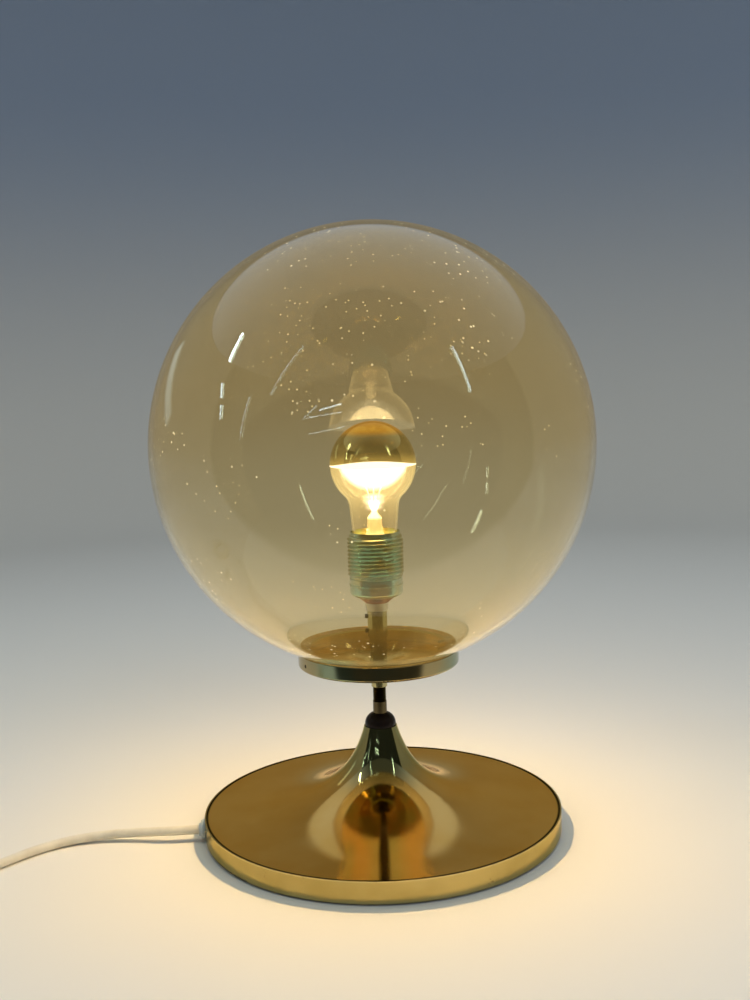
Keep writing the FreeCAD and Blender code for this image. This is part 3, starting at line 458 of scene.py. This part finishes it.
base_brass = turned("base_brass", colour(0.88, 0.52, 0.13), colour(0.96, 0.62, 0.20), 0.10, 1400.0, 0.00001,
                    Specular_Tint=colour(0.92, 0.78, 0.50))
# the upper trumpet and its neck are painted a dull olive: a painted reflection of the dark surroundings they mirror
plate_tone = base_brass.mix(base_brass.step(base_brass.height, NECK_FROM, NECK_TO), base_brass.tone, NECK_DARK_REFLECTION)
# the plate's outer edge is painted near black: painted shade in the groove between plate and rim band
shaded_plate_edge = base_brass.step(base_brass.radius(), PLATE_EDGE, PLATE_EDGE + PLATE_EDGE_BLEND)
base_brass.feed(Base_Color=base_brass.mix(shaded_plate_edge, plate_tone, GROOVE_PAINTED_SHADE),
                Roughness=base_brass.math("MULTIPLY_ADD", base_brass.smear, PLATE_SMEAR_ROUGHENS, PLATE_ROUGHNESS))
paint(base_brass, "base_plate")

RIM_INSIDE = 0.1238
RIM_INSIDE_BLEND = 0.0003
RIM_TOP_FROM, RIM_TOP_TO = 0.0146, 0.0157
RIM_FOOT_FROM, RIM_FOOT_TO = 0.0030, 0.0012
EDGE_HIGHLIGHT = colour(0.84, 0.72, 0.38)
WORN_SPOT = colour(0.16, 0.10, 0.04)
EDGE_HIGHLIGHT_SHARE = 0.45
SPOT_SHARE = 0.75
RIM_PAINTED_SHADE = colour(0.03, 0.02, 0.01)

rim_brass = turned("rim_brass", colour(0.39, 0.31, 0.11), colour(0.52, 0.42, 0.17), 0.12, 2600.0, 0.00001,
                   Specular_Tint=colour(0.95, 0.85, 0.60))
worn_patches = rim_brass.step(rim_brass.noise(38.0, Detail=2.0), 0.56, 0.68)
scratches = rim_brass.step(rim_brass.noise(900.0, Detail=3.0), 0.55, 0.66)
worn = rim_brass.math("MULTIPLY", worn_patches, scratches)
# the band's top and foot are painted lighter: a painted highlight along its edges
near_edge = rim_brass.math("MAXIMUM", rim_brass.step(rim_brass.height, RIM_TOP_FROM, RIM_TOP_TO),
                           rim_brass.step(rim_brass.height, RIM_FOOT_FROM, RIM_FOOT_TO))
edge_highlighted = rim_brass.mix(rim_brass.math("MULTIPLY", near_edge, EDGE_HIGHLIGHT_SHARE), rim_brass.tone, EDGE_HIGHLIGHT)
spotted = rim_brass.mix(rim_brass.math("MULTIPLY", worn, SPOT_SHARE), edge_highlighted, WORN_SPOT)
# the band's inside is painted near black: painted shade inside the rim, next to the plate
rim_inner_shade = rim_brass.step(rim_brass.radius(), RIM_INSIDE, RIM_INSIDE - RIM_INSIDE_BLEND)
rim_brass.feed(Base_Color=rim_brass.mix(rim_inner_shade, spotted, RIM_PAINTED_SHADE))
paint(rim_brass, "base_rim")

iron = Finish("cast_iron", Metallic=0.6, Roughness=0.62)
rough_cast = iron.noise(420.0, Detail=6.0)
iron.feed(Base_Color=iron.mix(rough_cast, colour(0.05, 0.05, 0.05), colour(0.16, 0.14, 0.13)),
          Normal=iron.bump(0.6, 0.0004, rough_cast))
paint(iron, "base_weight")

felt = Finish("base_felt", Roughness=0.95, Specular_IOR_Level=0.1, Sheen_Weight=0.4, Sheen_Roughness=0.6)
fibres = felt.noise(2400.0, Detail=6.0, Roughness=0.7)
felt.feed(Base_Color=felt.mix(fibres, colour(0.012, 0.05, 0.024), colour(0.05, 0.13, 0.07)),
          Normal=felt.bump(0.8, 0.0004, fibres))
paint(felt, "base_felt")

# ---------------------------------------------------------------- stem and neck cap
# A thin brass tube, threaded and blackened where the globe's gallery is adjusted, with a dark moulded dome at
# its foot and a brass tube nut under the gallery.

STEM_THREAD_FROM = 0.0905
STEM_THREAD_BLEND = 0.0006

# the tube's brass is painted near black all over: a painted dark reflection
stem_brass = turned("stem_brass", colour(0.085, 0.068, 0.036), colour(0.13, 0.105, 0.055), 0.16, 3200.0, 0.00002)
blackened = stem_brass.step(stem_brass.height, STEM_THREAD_FROM, STEM_THREAD_FROM + STEM_THREAD_BLEND)
stem_brass.feed(Base_Color=stem_brass.mix(blackened, stem_brass.tone, colour(0.075, 0.06, 0.035)))
paint(stem_brass, "stem_tube")

small_brass = turned("small_brass", colour(0.42, 0.38, 0.18), colour(0.56, 0.49, 0.24), 0.12, 3200.0, 0.00002)
paint(small_brass, "gallery_collar", "stem_column", "holder_sleeve", "lampholder_terminals", "lampholder_contact")

dome_plastic = moulded("dome_plastic", colour(0.010, 0.006, 0.004), colour(0.018, 0.011, 0.008), 0.16, 1800.0,
                       0.00003)
dome_plastic.feed(Specular_IOR_Level=0.16)
paint(dome_plastic, "neck_cap")

# ---------------------------------------------------------------- gallery
# A spun brass dish that holds the globe by its neck. Its inside is polished. Its outside and underside are painted
# a dull olive: a painted reflection of the dark surroundings on its wall, and painted shade beneath.
# Two blackened grub screws go through its wall.

GALLERY_SIDE = 0.0550
GALLERY_SIDE_BLEND = 0.0003
GALLERY_UNDER_FROM, GALLERY_UNDER_TO = 0.1200, 0.1196

gallery_brass = turned("gallery_brass", colour(0.72, 0.50, 0.14), colour(0.84, 0.62, 0.22), 0.08, 2200.0, 0.00001)
# painted reflection and painted shade: a dull olive on the outside and the underside
painted_shade_and_reflection = gallery_brass.mix(gallery_brass.step(gallery_brass.noise(26.0, Detail=2.0), 0.4, 0.62),
                            colour(0.30, 0.35, 0.22), colour(0.44, 0.34, 0.16))
gallery_wall = gallery_brass.step(gallery_brass.radius(), GALLERY_SIDE, GALLERY_SIDE + GALLERY_SIDE_BLEND)
gallery_under = gallery_brass.step(gallery_brass.height, GALLERY_UNDER_FROM, GALLERY_UNDER_TO)
outside = gallery_brass.math("MAXIMUM", gallery_wall, gallery_under)
gallery_brass.feed(Base_Color=gallery_brass.mix(outside, gallery_brass.tone, painted_shade_and_reflection))
paint(gallery_brass, "gallery")

black_screw = turned("black_screw", colour(0.03, 0.026, 0.022), colour(0.08, 0.07, 0.06), 0.34, 4000.0, 0.00002)
paint(black_screw, "gallery_screw_1", "gallery_screw_2", "sleeve_screws")

# ---------------------------------------------------------------- lampholder
# An E27 metal lampholder, zinc plated and passivated, so that it shimmers from silver to green and gold. Its cap
# has a copper-toned cone, and the skirt with its outer thread screws on over it.

CONE_TOP = 0.1665
CONE_BLEND = 0.0012
COPPER_TONE = colour(0.62, 0.27, 0.13)
GREEN_TINT = colour(0.46, 0.80, 0.76)
GOLD_TINT = colour(0.66, 0.66, 0.38)

ring_zinc = turned("ring_zinc", colour(0.44, 0.45, 0.42), colour(0.60, 0.61, 0.56), 0.26, 3000.0, 0.00002)
paint(ring_zinc, "holder_ring")

yellow_zinc = turned("yellow_zinc", colour(0.52, 0.62, 0.54), colour(0.60, 0.76, 0.70), 0.15, 2800.0, 0.00003)
zinc_facing = yellow_zinc.add("ShaderNodeLayerWeight", Blend=0.45).outputs["Facing"]
tints = yellow_zinc.mix(yellow_zinc.step(yellow_zinc.noise(75.0, Detail=1.5), 0.42, 0.60),
                        GREEN_TINT, GOLD_TINT)
shimmer = yellow_zinc.mix(yellow_zinc.step(zinc_facing, 0.10, 0.70), tints, yellow_zinc.tone)
copper = yellow_zinc.step(yellow_zinc.height, CONE_TOP, CONE_TOP - CONE_BLEND)
yellow_zinc.feed(Base_Color=yellow_zinc.mix(copper, shimmer, COPPER_TONE))
paint(yellow_zinc, "lampholder_cap")

MATERIAL = "NodeSocketMaterial"
CORNER_ANGLE = 0.7


class Tree(Nodes):
    """A Geometry Nodes tree being built, with its inputs by name."""

    def __init__(self, name, **inputs):
        super().__init__(bpy.data.node_groups.new(name, "GeometryNodeTree"))
        self.tree.interface.new_socket("Geometry", in_out="OUTPUT", socket_type="NodeSocketGeometry")
        self.keys = {}
        for label, kind in inputs.items():
            made = self.tree.interface.new_socket(label.replace("_", " "), in_out="INPUT", socket_type=kind)
            self.keys[label] = made.identifier
        asked = self.tree.nodes.new("NodeGroupInput").outputs
        self.given = {label: asked[label.replace("_", " ")] for label in inputs}
        self.result = self.tree.nodes.new("NodeGroupOutput")

    def round_point(self, radius, turn, height):
        """The point at this radius, turn in radians and height about the lamp's axis."""
        x = self.math("MULTIPLY", radius, self.math("COSINE", turn))
        y = self.math("MULTIPLY", radius, self.math("SINE", turn))
        return self.add("ShaderNodeCombineXYZ", X=x, Y=y, Z=height).outputs[0]

    def finish(self, geometry):
        """Ends the tree as the export needs it: real mesh, smooth but for its corners, in the given material."""
        smooth = self.add("GeometryNodeSetShadeSmooth", Geometry=geometry)
        angle = self.add("GeometryNodeInputMeshEdgeAngle").outputs["Unsigned Angle"]
        creased = self.add("GeometryNodeSetShadeSmooth", Geometry=smooth.outputs[0], Shade_Smooth=False,
                           Selection=self.math("GREATER_THAN", angle, CORNER_ANGLE))
        creased.domain = "EDGE"
        real = self.add("GeometryNodeRealizeInstances", Geometry=creased.outputs[0])
        dressed = self.add("GeometryNodeSetMaterial", Geometry=real.outputs[0], Material=self.given["Material"])
        self.fill(self.result, Geometry=dressed.outputs[0])

    def mesh(self, name, **values):
        """Runs the tree with these values, and returns a plain object of this name."""
        carrier = into_scene(name + "_tree", bpy.data.meshes.new(name + "_tree"))
        modifier = carrier.modifiers.new("tree", "NODES")
        modifier.node_group = self.tree
        for label, value in values.items():
            modifier[self.keys[label]] = value
        evaluated = carrier.evaluated_get(bpy.context.evaluated_depsgraph_get())
        plain = into_scene(name, bpy.data.meshes.new_from_object(evaluated))
        carrier.modifiers.remove(modifier)
        bpy.data.objects.remove(carrier)
        return plain


# The skirt is one sheet, rolled round the axis. Its row 0 is the bore's lower edge. The next rows climb the outside
# with the thread, the last four go round the plain rim and down the bore again, and the edges are welded together.
AROUND = 96
ALONG = 156
RIM_FOOT_ROW = ALONG + 2
RIM_TOP_ROW = ALONG + 3
BORE_TOP_ROW = ALONG + 4
BORE_FOOT_ROW = ALONG + 5
RIM_CHAMFER = 0.0003
WELD = 0.000005

thread = Tree("threaded_sleeve", Bore=FLOAT, Root_Radius=FLOAT, Crest_Radius=FLOAT, Rim_Radius=FLOAT, Pitch=FLOAT,
              Bottom=FLOAT, Thread_Top=FLOAT, Top=FLOAT, Material=MATERIAL)
sleeve = thread.given
sheet = thread.add("GeometryNodeMeshGrid", Size_X=1.0, Size_Y=1.0, Vertices_X=AROUND + 1,
                   Vertices_Y=BORE_FOOT_ROW + 1)
cell = thread.add("ShaderNodeSeparateXYZ", Vector=thread.add("GeometryNodeInputPosition").outputs[0])
part_round = thread.math("ADD", cell.outputs[0], 0.5)
row = thread.math("MULTIPLY_ADD", cell.outputs[1], BORE_FOOT_ROW, BORE_FOOT_ROW / 2)


def from_row(number, under, over):
    """One value up to this row of the sheet, and another from it on."""
    passed = thread.math("GREATER_THAN", row, number - 0.5)
    return thread.math("MULTIPLY_ADD", passed, thread.math("SUBTRACT", over, under), under)


def clamped(value):
    """The value, but never under 0 or over 1."""
    return thread.add("ShaderNodeClamp", Value=value).outputs[0]


climbed = clamped(thread.math("DIVIDE", thread.math("SUBTRACT", row, 1.0), ALONG))
threaded = thread.math("SUBTRACT", sleeve["Thread_Top"], sleeve["Bottom"])
rise = thread.math("MULTIPLY", climbed, threaded)
turns = thread.math("SUBTRACT", thread.math("DIVIDE", rise, sleeve["Pitch"]), part_round)
wave = thread.math("MULTIPLY_ADD", thread.math("COSINE", thread.math("MULTIPLY", turns, FULL_TURN)), -0.5, 0.5)
to_end = thread.math("MINIMUM", rise, thread.math("SUBTRACT", threaded, rise))
run_out = clamped(thread.math("DIVIDE", to_end, sleeve["Pitch"]))
thread_depth = thread.math("SUBTRACT", sleeve["Crest_Radius"], sleeve["Root_Radius"])
thread_wall = thread.math("MULTIPLY_ADD", thread.math("MULTIPLY", wave, run_out), thread_depth,
                          sleeve["Root_Radius"])
above_thread = from_row(BORE_TOP_ROW, sleeve["Rim_Radius"], sleeve["Bore"])
sheet_r = from_row(1, sleeve["Bore"], from_row(RIM_FOOT_ROW, thread_wall, above_thread))
rim_foot = thread.math("ADD", sleeve["Thread_Top"], RIM_CHAMFER)
rim_z = from_row(RIM_TOP_ROW, rim_foot, from_row(BORE_FOOT_ROW, sleeve["Top"], sleeve["Bottom"]))
sheet_z = from_row(RIM_FOOT_ROW, thread.math("ADD", rise, sleeve["Bottom"]), rim_z)
rolled = thread.add("GeometryNodeSetPosition", Geometry=sheet.outputs[0], Position=thread.round_point(
    sheet_r, thread.math("MULTIPLY", part_round, FULL_TURN), sheet_z))
welded = thread.add("GeometryNodeMergeByDistance", Geometry=rolled.outputs[0], Distance=WELD)
thread.finish(welded.outputs[0])

SKIRT_RIM_HEIGHT = 0.0024

skirt_low, skirt_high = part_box("lampholder_skirt")
skirt = thread.mesh("skirt", Bore=0.0162, Root_Radius=0.0178, Crest_Radius=skirt_high.x, Rim_Radius=0.0172,
                    Pitch=0.0027, Bottom=skirt_low.z, Thread_Top=skirt_high.z - SKIRT_RIM_HEIGHT, Top=skirt_high.z,
                    Material=yellow_zinc.material)
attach(skirt, "lamp")
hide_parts("lampholder_skirt")

glazed = moulded("glazed_ceramic", colour(0.74, 0.72, 0.66), colour(0.80, 0.78, 0.72), 0.12, 300.0, 0.0001)
paint(glazed, "lampholder_core")

cap_metal = turned("cap_metal", colour(0.56, 0.54, 0.50), colour(0.70, 0.68, 0.62), 0.22, 3000.0, 0.00003)
paint(cap_metal, "lampholder_shell", "bulb_cap", "bulb_tip")

# ---------------------------------------------------------------- bulb
# A crown-mirror bulb, lit: clear glass over a glass mount, wires and a ring filament, and a gold mirror coat on
# its upper half. The glass is painted with a glow, white where the filament is nearest.

BULB_MIDDLE = 0.2565
FILAMENT_LIGHT = Vector((0.0, 0.0, 0.2475))


def lets_light_through(finish, tint):
    """Clear glass that a lamp's light passes as through a tinted film, not as through a solid block."""
    film = finish.add("ShaderNodeBsdfTransparent", Color=tint)
    shadow_ray = finish.add("ShaderNodeLightPath").outputs["Is Shadow Ray"]
    either = finish.add("ShaderNodeMixShader")
    for value, socket in zip((shadow_ray, finish.shader.outputs[0], film.outputs[0]), either.inputs):
        finish.join(value, socket)
    finish.fill(finish.tree.nodes["Material Output"], Surface=either.outputs[0])


bulb_light = bpy.data.lights.new("bulb_light", "POINT")
bulb_light.energy = 4.4
bulb_light.color = (1.0, 0.79, 0.54)
bulb_light.shadow_soft_size = 0.006
bulb_lamp = into_scene("bulb_light", bulb_light)
bulb_lamp.location = FILAMENT_LIGHT
bulb_lamp.visible_glossy = False
bulb_lamp.visible_transmission = False
bulb_lamp.visible_camera = False

# The white core fills the glass from its lower edge up to the mirror coat, and widens on its way up.
CORE_FROM, CORE_TO = 0.226, 0.2562
CORE_FOOT_BLEND = 0.003
CORE_SIDE_BLEND = 0.06
CORE_TOP_WIDTH = 0.14
CORE_SPREAD = 5.0
BODY_FROM, BODY_TO = 0.2120, 0.2400
FOOT_FROM, FOOT_TO = 0.2100, 0.2070
OUTSIDE_PATH = 0.065
BODY_DIM = colour(0.050, 0.033, 0.010)
BODY_BRIGHT = colour(0.160, 0.118, 0.045)
FOOT_GLOW = colour(0.22, 0.15, 0.02)
EDGE_GLOW = colour(0.36, 0.27, 0.09)
CORE_GLOW = colour(1.2, 1.1, 0.85)
MIRRORED_MIDDLE = colour(0.9, 0.65, 0.28)
MIRRORED_EDGE = colour(2.6, 2.0, 1.0)
MIRRORED_CORE = colour(11.0, 8.8, 5.0)

lit_glass = Finish("lit_bulb_glass", Roughness=0.0, IOR=1.45, Transmission_Weight=1.0, Emission_Strength=1.0,
                   Base_Color=colour(1.0, 0.97, 0.90))
glass_z = lit_glass.axes()[2]
glass_facing = lit_glass.add("ShaderNodeLayerWeight", Blend=0.5).outputs["Facing"]
core_up = lit_glass.step(glass_z, CORE_FROM, CORE_FROM + CORE_FOOT_BLEND)
core_width = lit_glass.math("MULTIPLY_ADD", glass_z, CORE_SPREAD, CORE_TOP_WIDTH - CORE_SPREAD * CORE_TO)
core_inside = lit_glass.step(glass_facing, lit_glass.math("ADD", core_width, CORE_SIDE_BLEND), core_width)
core = lit_glass.math("MULTIPLY", core_up, core_inside)
body_glow = lit_glass.mix(lit_glass.step(glass_z, BODY_FROM, BODY_TO), BODY_DIM, BODY_BRIGHT)
foot_glow = lit_glass.mix(lit_glass.step(glass_z, FOOT_FROM, FOOT_TO), body_glow, FOOT_GLOW)
edge_glow = lit_glass.mix(lit_glass.step(glass_facing, 0.72, 0.96), foot_glow, EDGE_GLOW)
seen_glow = lit_glass.mix(core, edge_glow, CORE_GLOW)
# mirrored in metal and in the globe, the bulb is as bright as a lamp, far brighter than a picture can show it
around_core = lit_glass.mix(lit_glass.step(glass_facing, 0.45, 0.85), MIRRORED_MIDDLE, MIRRORED_EDGE)
mirror_glow = lit_glass.mix(core, around_core, MIRRORED_CORE)
# a mirrored ray this long comes from outside the bulb, and not from its own glass and coat
ray = lit_glass.add("ShaderNodeLightPath").outputs
from_outside = lit_glass.math("MULTIPLY", lit_glass.math("GREATER_THAN", ray["Glossy Depth"], 0.5),
                              lit_glass.math("GREATER_THAN", ray["Ray Length"], OUTSIDE_PATH))
lit_glass.feed(Emission_Color=lit_glass.mix(from_outside, seen_glow, mirror_glow))
lets_light_through(lit_glass, colour(1.0, 0.98, 0.94))
paint(lit_glass, "bulb_glass")

PINCH_FROM, PINCH_TO = 0.2185, 0.2205

mount_glass = Finish("mount_glass", Roughness=0.05, IOR=1.5, Transmission_Weight=0.6, Emission_Strength=1.0,
                     Base_Color=colour(1.0, 0.93, 0.78))
# the mount's glass is painted with a glow, bright from its pinch up and dim below it
pinch = mount_glass.step(mount_glass.axes()[2], PINCH_FROM, PINCH_TO)
mount_glass.feed(Emission_Color=mount_glass.mix(pinch, colour(0.05, 0.034, 0.012), colour(1.3, 1.1, 0.65)))
lets_light_through(mount_glass, colour(1.0, 0.96, 0.88))
paint(mount_glass, "bulb_mount")

# the wires are painted with a warm glow
hot_wire = Finish("hot_wire", Metallic=1.0, Roughness=0.3, Emission_Strength=1.5, Base_Color=colour(0.6, 0.6, 0.6),
                  Emission_Color=colour(1.0, 0.8, 0.5))
paint(hot_wire, "bulb_wires")

# The filament's own coil is wound round the ring that the CAD solid gives.
FILAMENT_RING = 0.009
FILAMENT_COIL = 0.00036
FILAMENT_WIRE = 0.00011
FILAMENT_COILS = 70
FILAMENT_FROM = math.radians(150)
FILAMENT_SWEEP = math.radians(240)
POINTS_PER_COIL = 12.0

filament_glow = Finish("filament_glow", Emission_Strength=14.0, Base_Color=colour(1.0, 0.8, 0.5))
filament_glow.feed(Emission_Color=filament_glow.mix(filament_glow.noise(700.0), colour(1.0, 0.76, 0.44),
                                                    colour(1.0, 0.88, 0.66)))

winding = Tree("coiled_wire", Ring_Radius=FLOAT, Coil_Radius=FLOAT, Wire_Radius=FLOAT, Height=FLOAT,
               Coils="NodeSocketInt", From=FLOAT, Sweep=FLOAT, Material=MATERIAL)
coiled = winding.given
line = winding.add("GeometryNodeCurvePrimitiveLine", End=(1.0, 0.0, 0.0))
dense = winding.add("GeometryNodeResampleCurve", Curve=line.outputs[0],
                    Count=winding.math("MULTIPLY", coiled["Coils"], POINTS_PER_COIL))
along_line = winding.add("ShaderNodeSeparateXYZ",
                         Vector=winding.add("GeometryNodeInputPosition").outputs[0]).outputs[0]
ring_turn = winding.math("MULTIPLY_ADD", along_line, coiled["Sweep"], coiled["From"])
coil_turn = winding.math("MULTIPLY", along_line, winding.math("MULTIPLY", coiled["Coils"], FULL_TURN))
coil_r = winding.math("MULTIPLY_ADD", winding.math("COSINE", coil_turn), coiled["Coil_Radius"],
                      coiled["Ring_Radius"])
coil_z = winding.math("MULTIPLY_ADD", winding.math("SINE", coil_turn), coiled["Coil_Radius"], coiled["Height"])
wound = winding.add("GeometryNodeSetPosition", Geometry=dense.outputs[0],
                    Position=winding.round_point(coil_r, ring_turn, coil_z))
section = winding.add("GeometryNodeCurvePrimitiveCircle", Resolution=6, Radius=coiled["Wire_Radius"])
wire = winding.add("GeometryNodeCurveToMesh", Curve=wound.outputs[0], Profile_Curve=section.outputs[0],
                   Fill_Caps=True)
winding.finish(wire.outputs[0])

arc_low, arc_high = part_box("bulb_filament")
filament = winding.mesh("filament_coil", Ring_Radius=FILAMENT_RING, Coil_Radius=FILAMENT_COIL,
                        Wire_Radius=FILAMENT_WIRE, Height=(arc_low.z + arc_high.z) / 2, Coils=FILAMENT_COILS,
                        From=FILAMENT_FROM, Sweep=FILAMENT_SWEEP, Material=filament_glow.material)
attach(filament, "bulb")
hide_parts("bulb_filament")

# The gold coat is pale at its lower edge, smoky above it and orange on its crown. It is thin at its lower edge, and
# the light inside is painted on it as a glow: bright through there in a shallow arch, fainter just above, orange on
# its crown.
SMOKY_FROM, SMOKY_TO = BULB_MIDDLE + 0.003, BULB_MIDDLE + 0.010
CROWN_FROM, CROWN_TO = BULB_MIDDLE + 0.019, BULB_MIDDLE + 0.024
ARCH_TOP = BULB_MIDDLE + 0.0040
ARCH_CURVE = -4.8
ARCH_BLEND = 0.0007
FRINGE_HEIGHT = 0.0080

gold = Finish("gold_mirror", Metallic=1.0, Emission_Strength=1.0)
gold_x, _, gold_z = gold.axes()
streaks = gold.noise(110.0, Detail=4.0)
smoky = gold.step(gold_z, SMOKY_FROM, SMOKY_TO)
crown = gold.step(gold_z, CROWN_FROM, CROWN_TO)
low_tone = gold.mix(streaks, colour(0.72, 0.60, 0.28), colour(0.60, 0.52, 0.27))
mid_tone = gold.mix(streaks, colour(0.58, 0.52, 0.28), colour(0.74, 0.62, 0.30))
top_tone = gold.mix(gold.step(streaks, 0.42, 0.58), colour(0.95, 0.58, 0.10), colour(0.80, 0.42, 0.06))
arch = gold.math("MULTIPLY_ADD", gold.math("MULTIPLY", gold_x, gold_x), ARCH_CURVE, ARCH_TOP)
shine = gold.step(gold_z, gold.math("ADD", arch, ARCH_BLEND), arch)
fringe = gold.mix(gold.step(gold_z, gold.math("ADD", arch, FRINGE_HEIGHT), arch), colour(0.02, 0.015, 0.004),
                  colour(0.34, 0.24, 0.06))
coat_glow = gold.mix(crown, fringe, colour(0.22, 0.10, 0.005))
gold.feed(Base_Color=gold.mix(crown, gold.mix(smoky, low_tone, mid_tone), top_tone),
          Roughness=gold.math("MULTIPLY_ADD", streaks, 0.10, 0.05),
          Emission_Color=gold.mix(shine, coat_glow, colour(2.2, 2.0, 1.5)))
paint(gold, "bulb_mirror")

black_glass = moulded("black_cap_glass", colour(0.012, 0.012, 0.016), colour(0.02, 0.02, 0.026), 0.08, 400.0,
                      0.00003)
paint(black_glass, "bulb_insulator")

# ---------------------------------------------------------------- globe
# A hand-blown globe of smoked amber glass, 3 mm thick, open at its neck, which stands in the gallery. The bulb's
# light on the glass and its thin film of dust is painted on as a glow: more low down, with brighter single specks.

DUST_GLOW_LOW, DUST_GLOW_HIGH = 0.13, 0.40
LOW_DUST_GLOW = colour(0.030, 0.020, 0.005)
HIGH_DUST_GLOW = colour(0.010, 0.007, 0.002)
CLEAR_AMBER = colour(0.88, 0.82, 0.65)
OUTLINE_PAINTED_SHADE = colour(0.42, 0.38, 0.31)
SPECK_GLOW = colour(0.80, 0.66, 0.36)

smoked = Finish("smoked_amber_glass", Roughness=0.0, IOR=1.45, Transmission_Weight=1.0, Emission_Strength=1.0)
# the glass is painted darker and greyer at its outline, where it is seen edge-on: painted shade
shaded_outline = smoked.step(smoked.add("ShaderNodeLayerWeight", Blend=0.5).outputs["Facing"], 0.78, 0.98)
smoked.feed(Base_Color=smoked.mix(shaded_outline, CLEAR_AMBER, OUTLINE_PAINTED_SHADE))
# painted glow: the bulb's light on the glass and its dust, stronger low down, with brighter specks
dust_glow = smoked.mix(smoked.step(smoked.axes()[2], DUST_GLOW_LOW, DUST_GLOW_HIGH), LOW_DUST_GLOW, HIGH_DUST_GLOW)
grains = smoked.add("ShaderNodeTexVoronoi", Vector=smoked.point(), Scale=150.0).outputs["Distance"]
specks = smoked.math("MULTIPLY", smoked.step(grains, 0.13, 0.08), smoked.step(smoked.noise(14.0), 0.53, 0.62))
smoked.feed(Emission_Color=smoked.mix(specks, dust_glow, SPECK_GLOW))
lets_light_through(smoked, colour(0.88, 0.84, 0.72))
paint(smoked, "glass_globe")
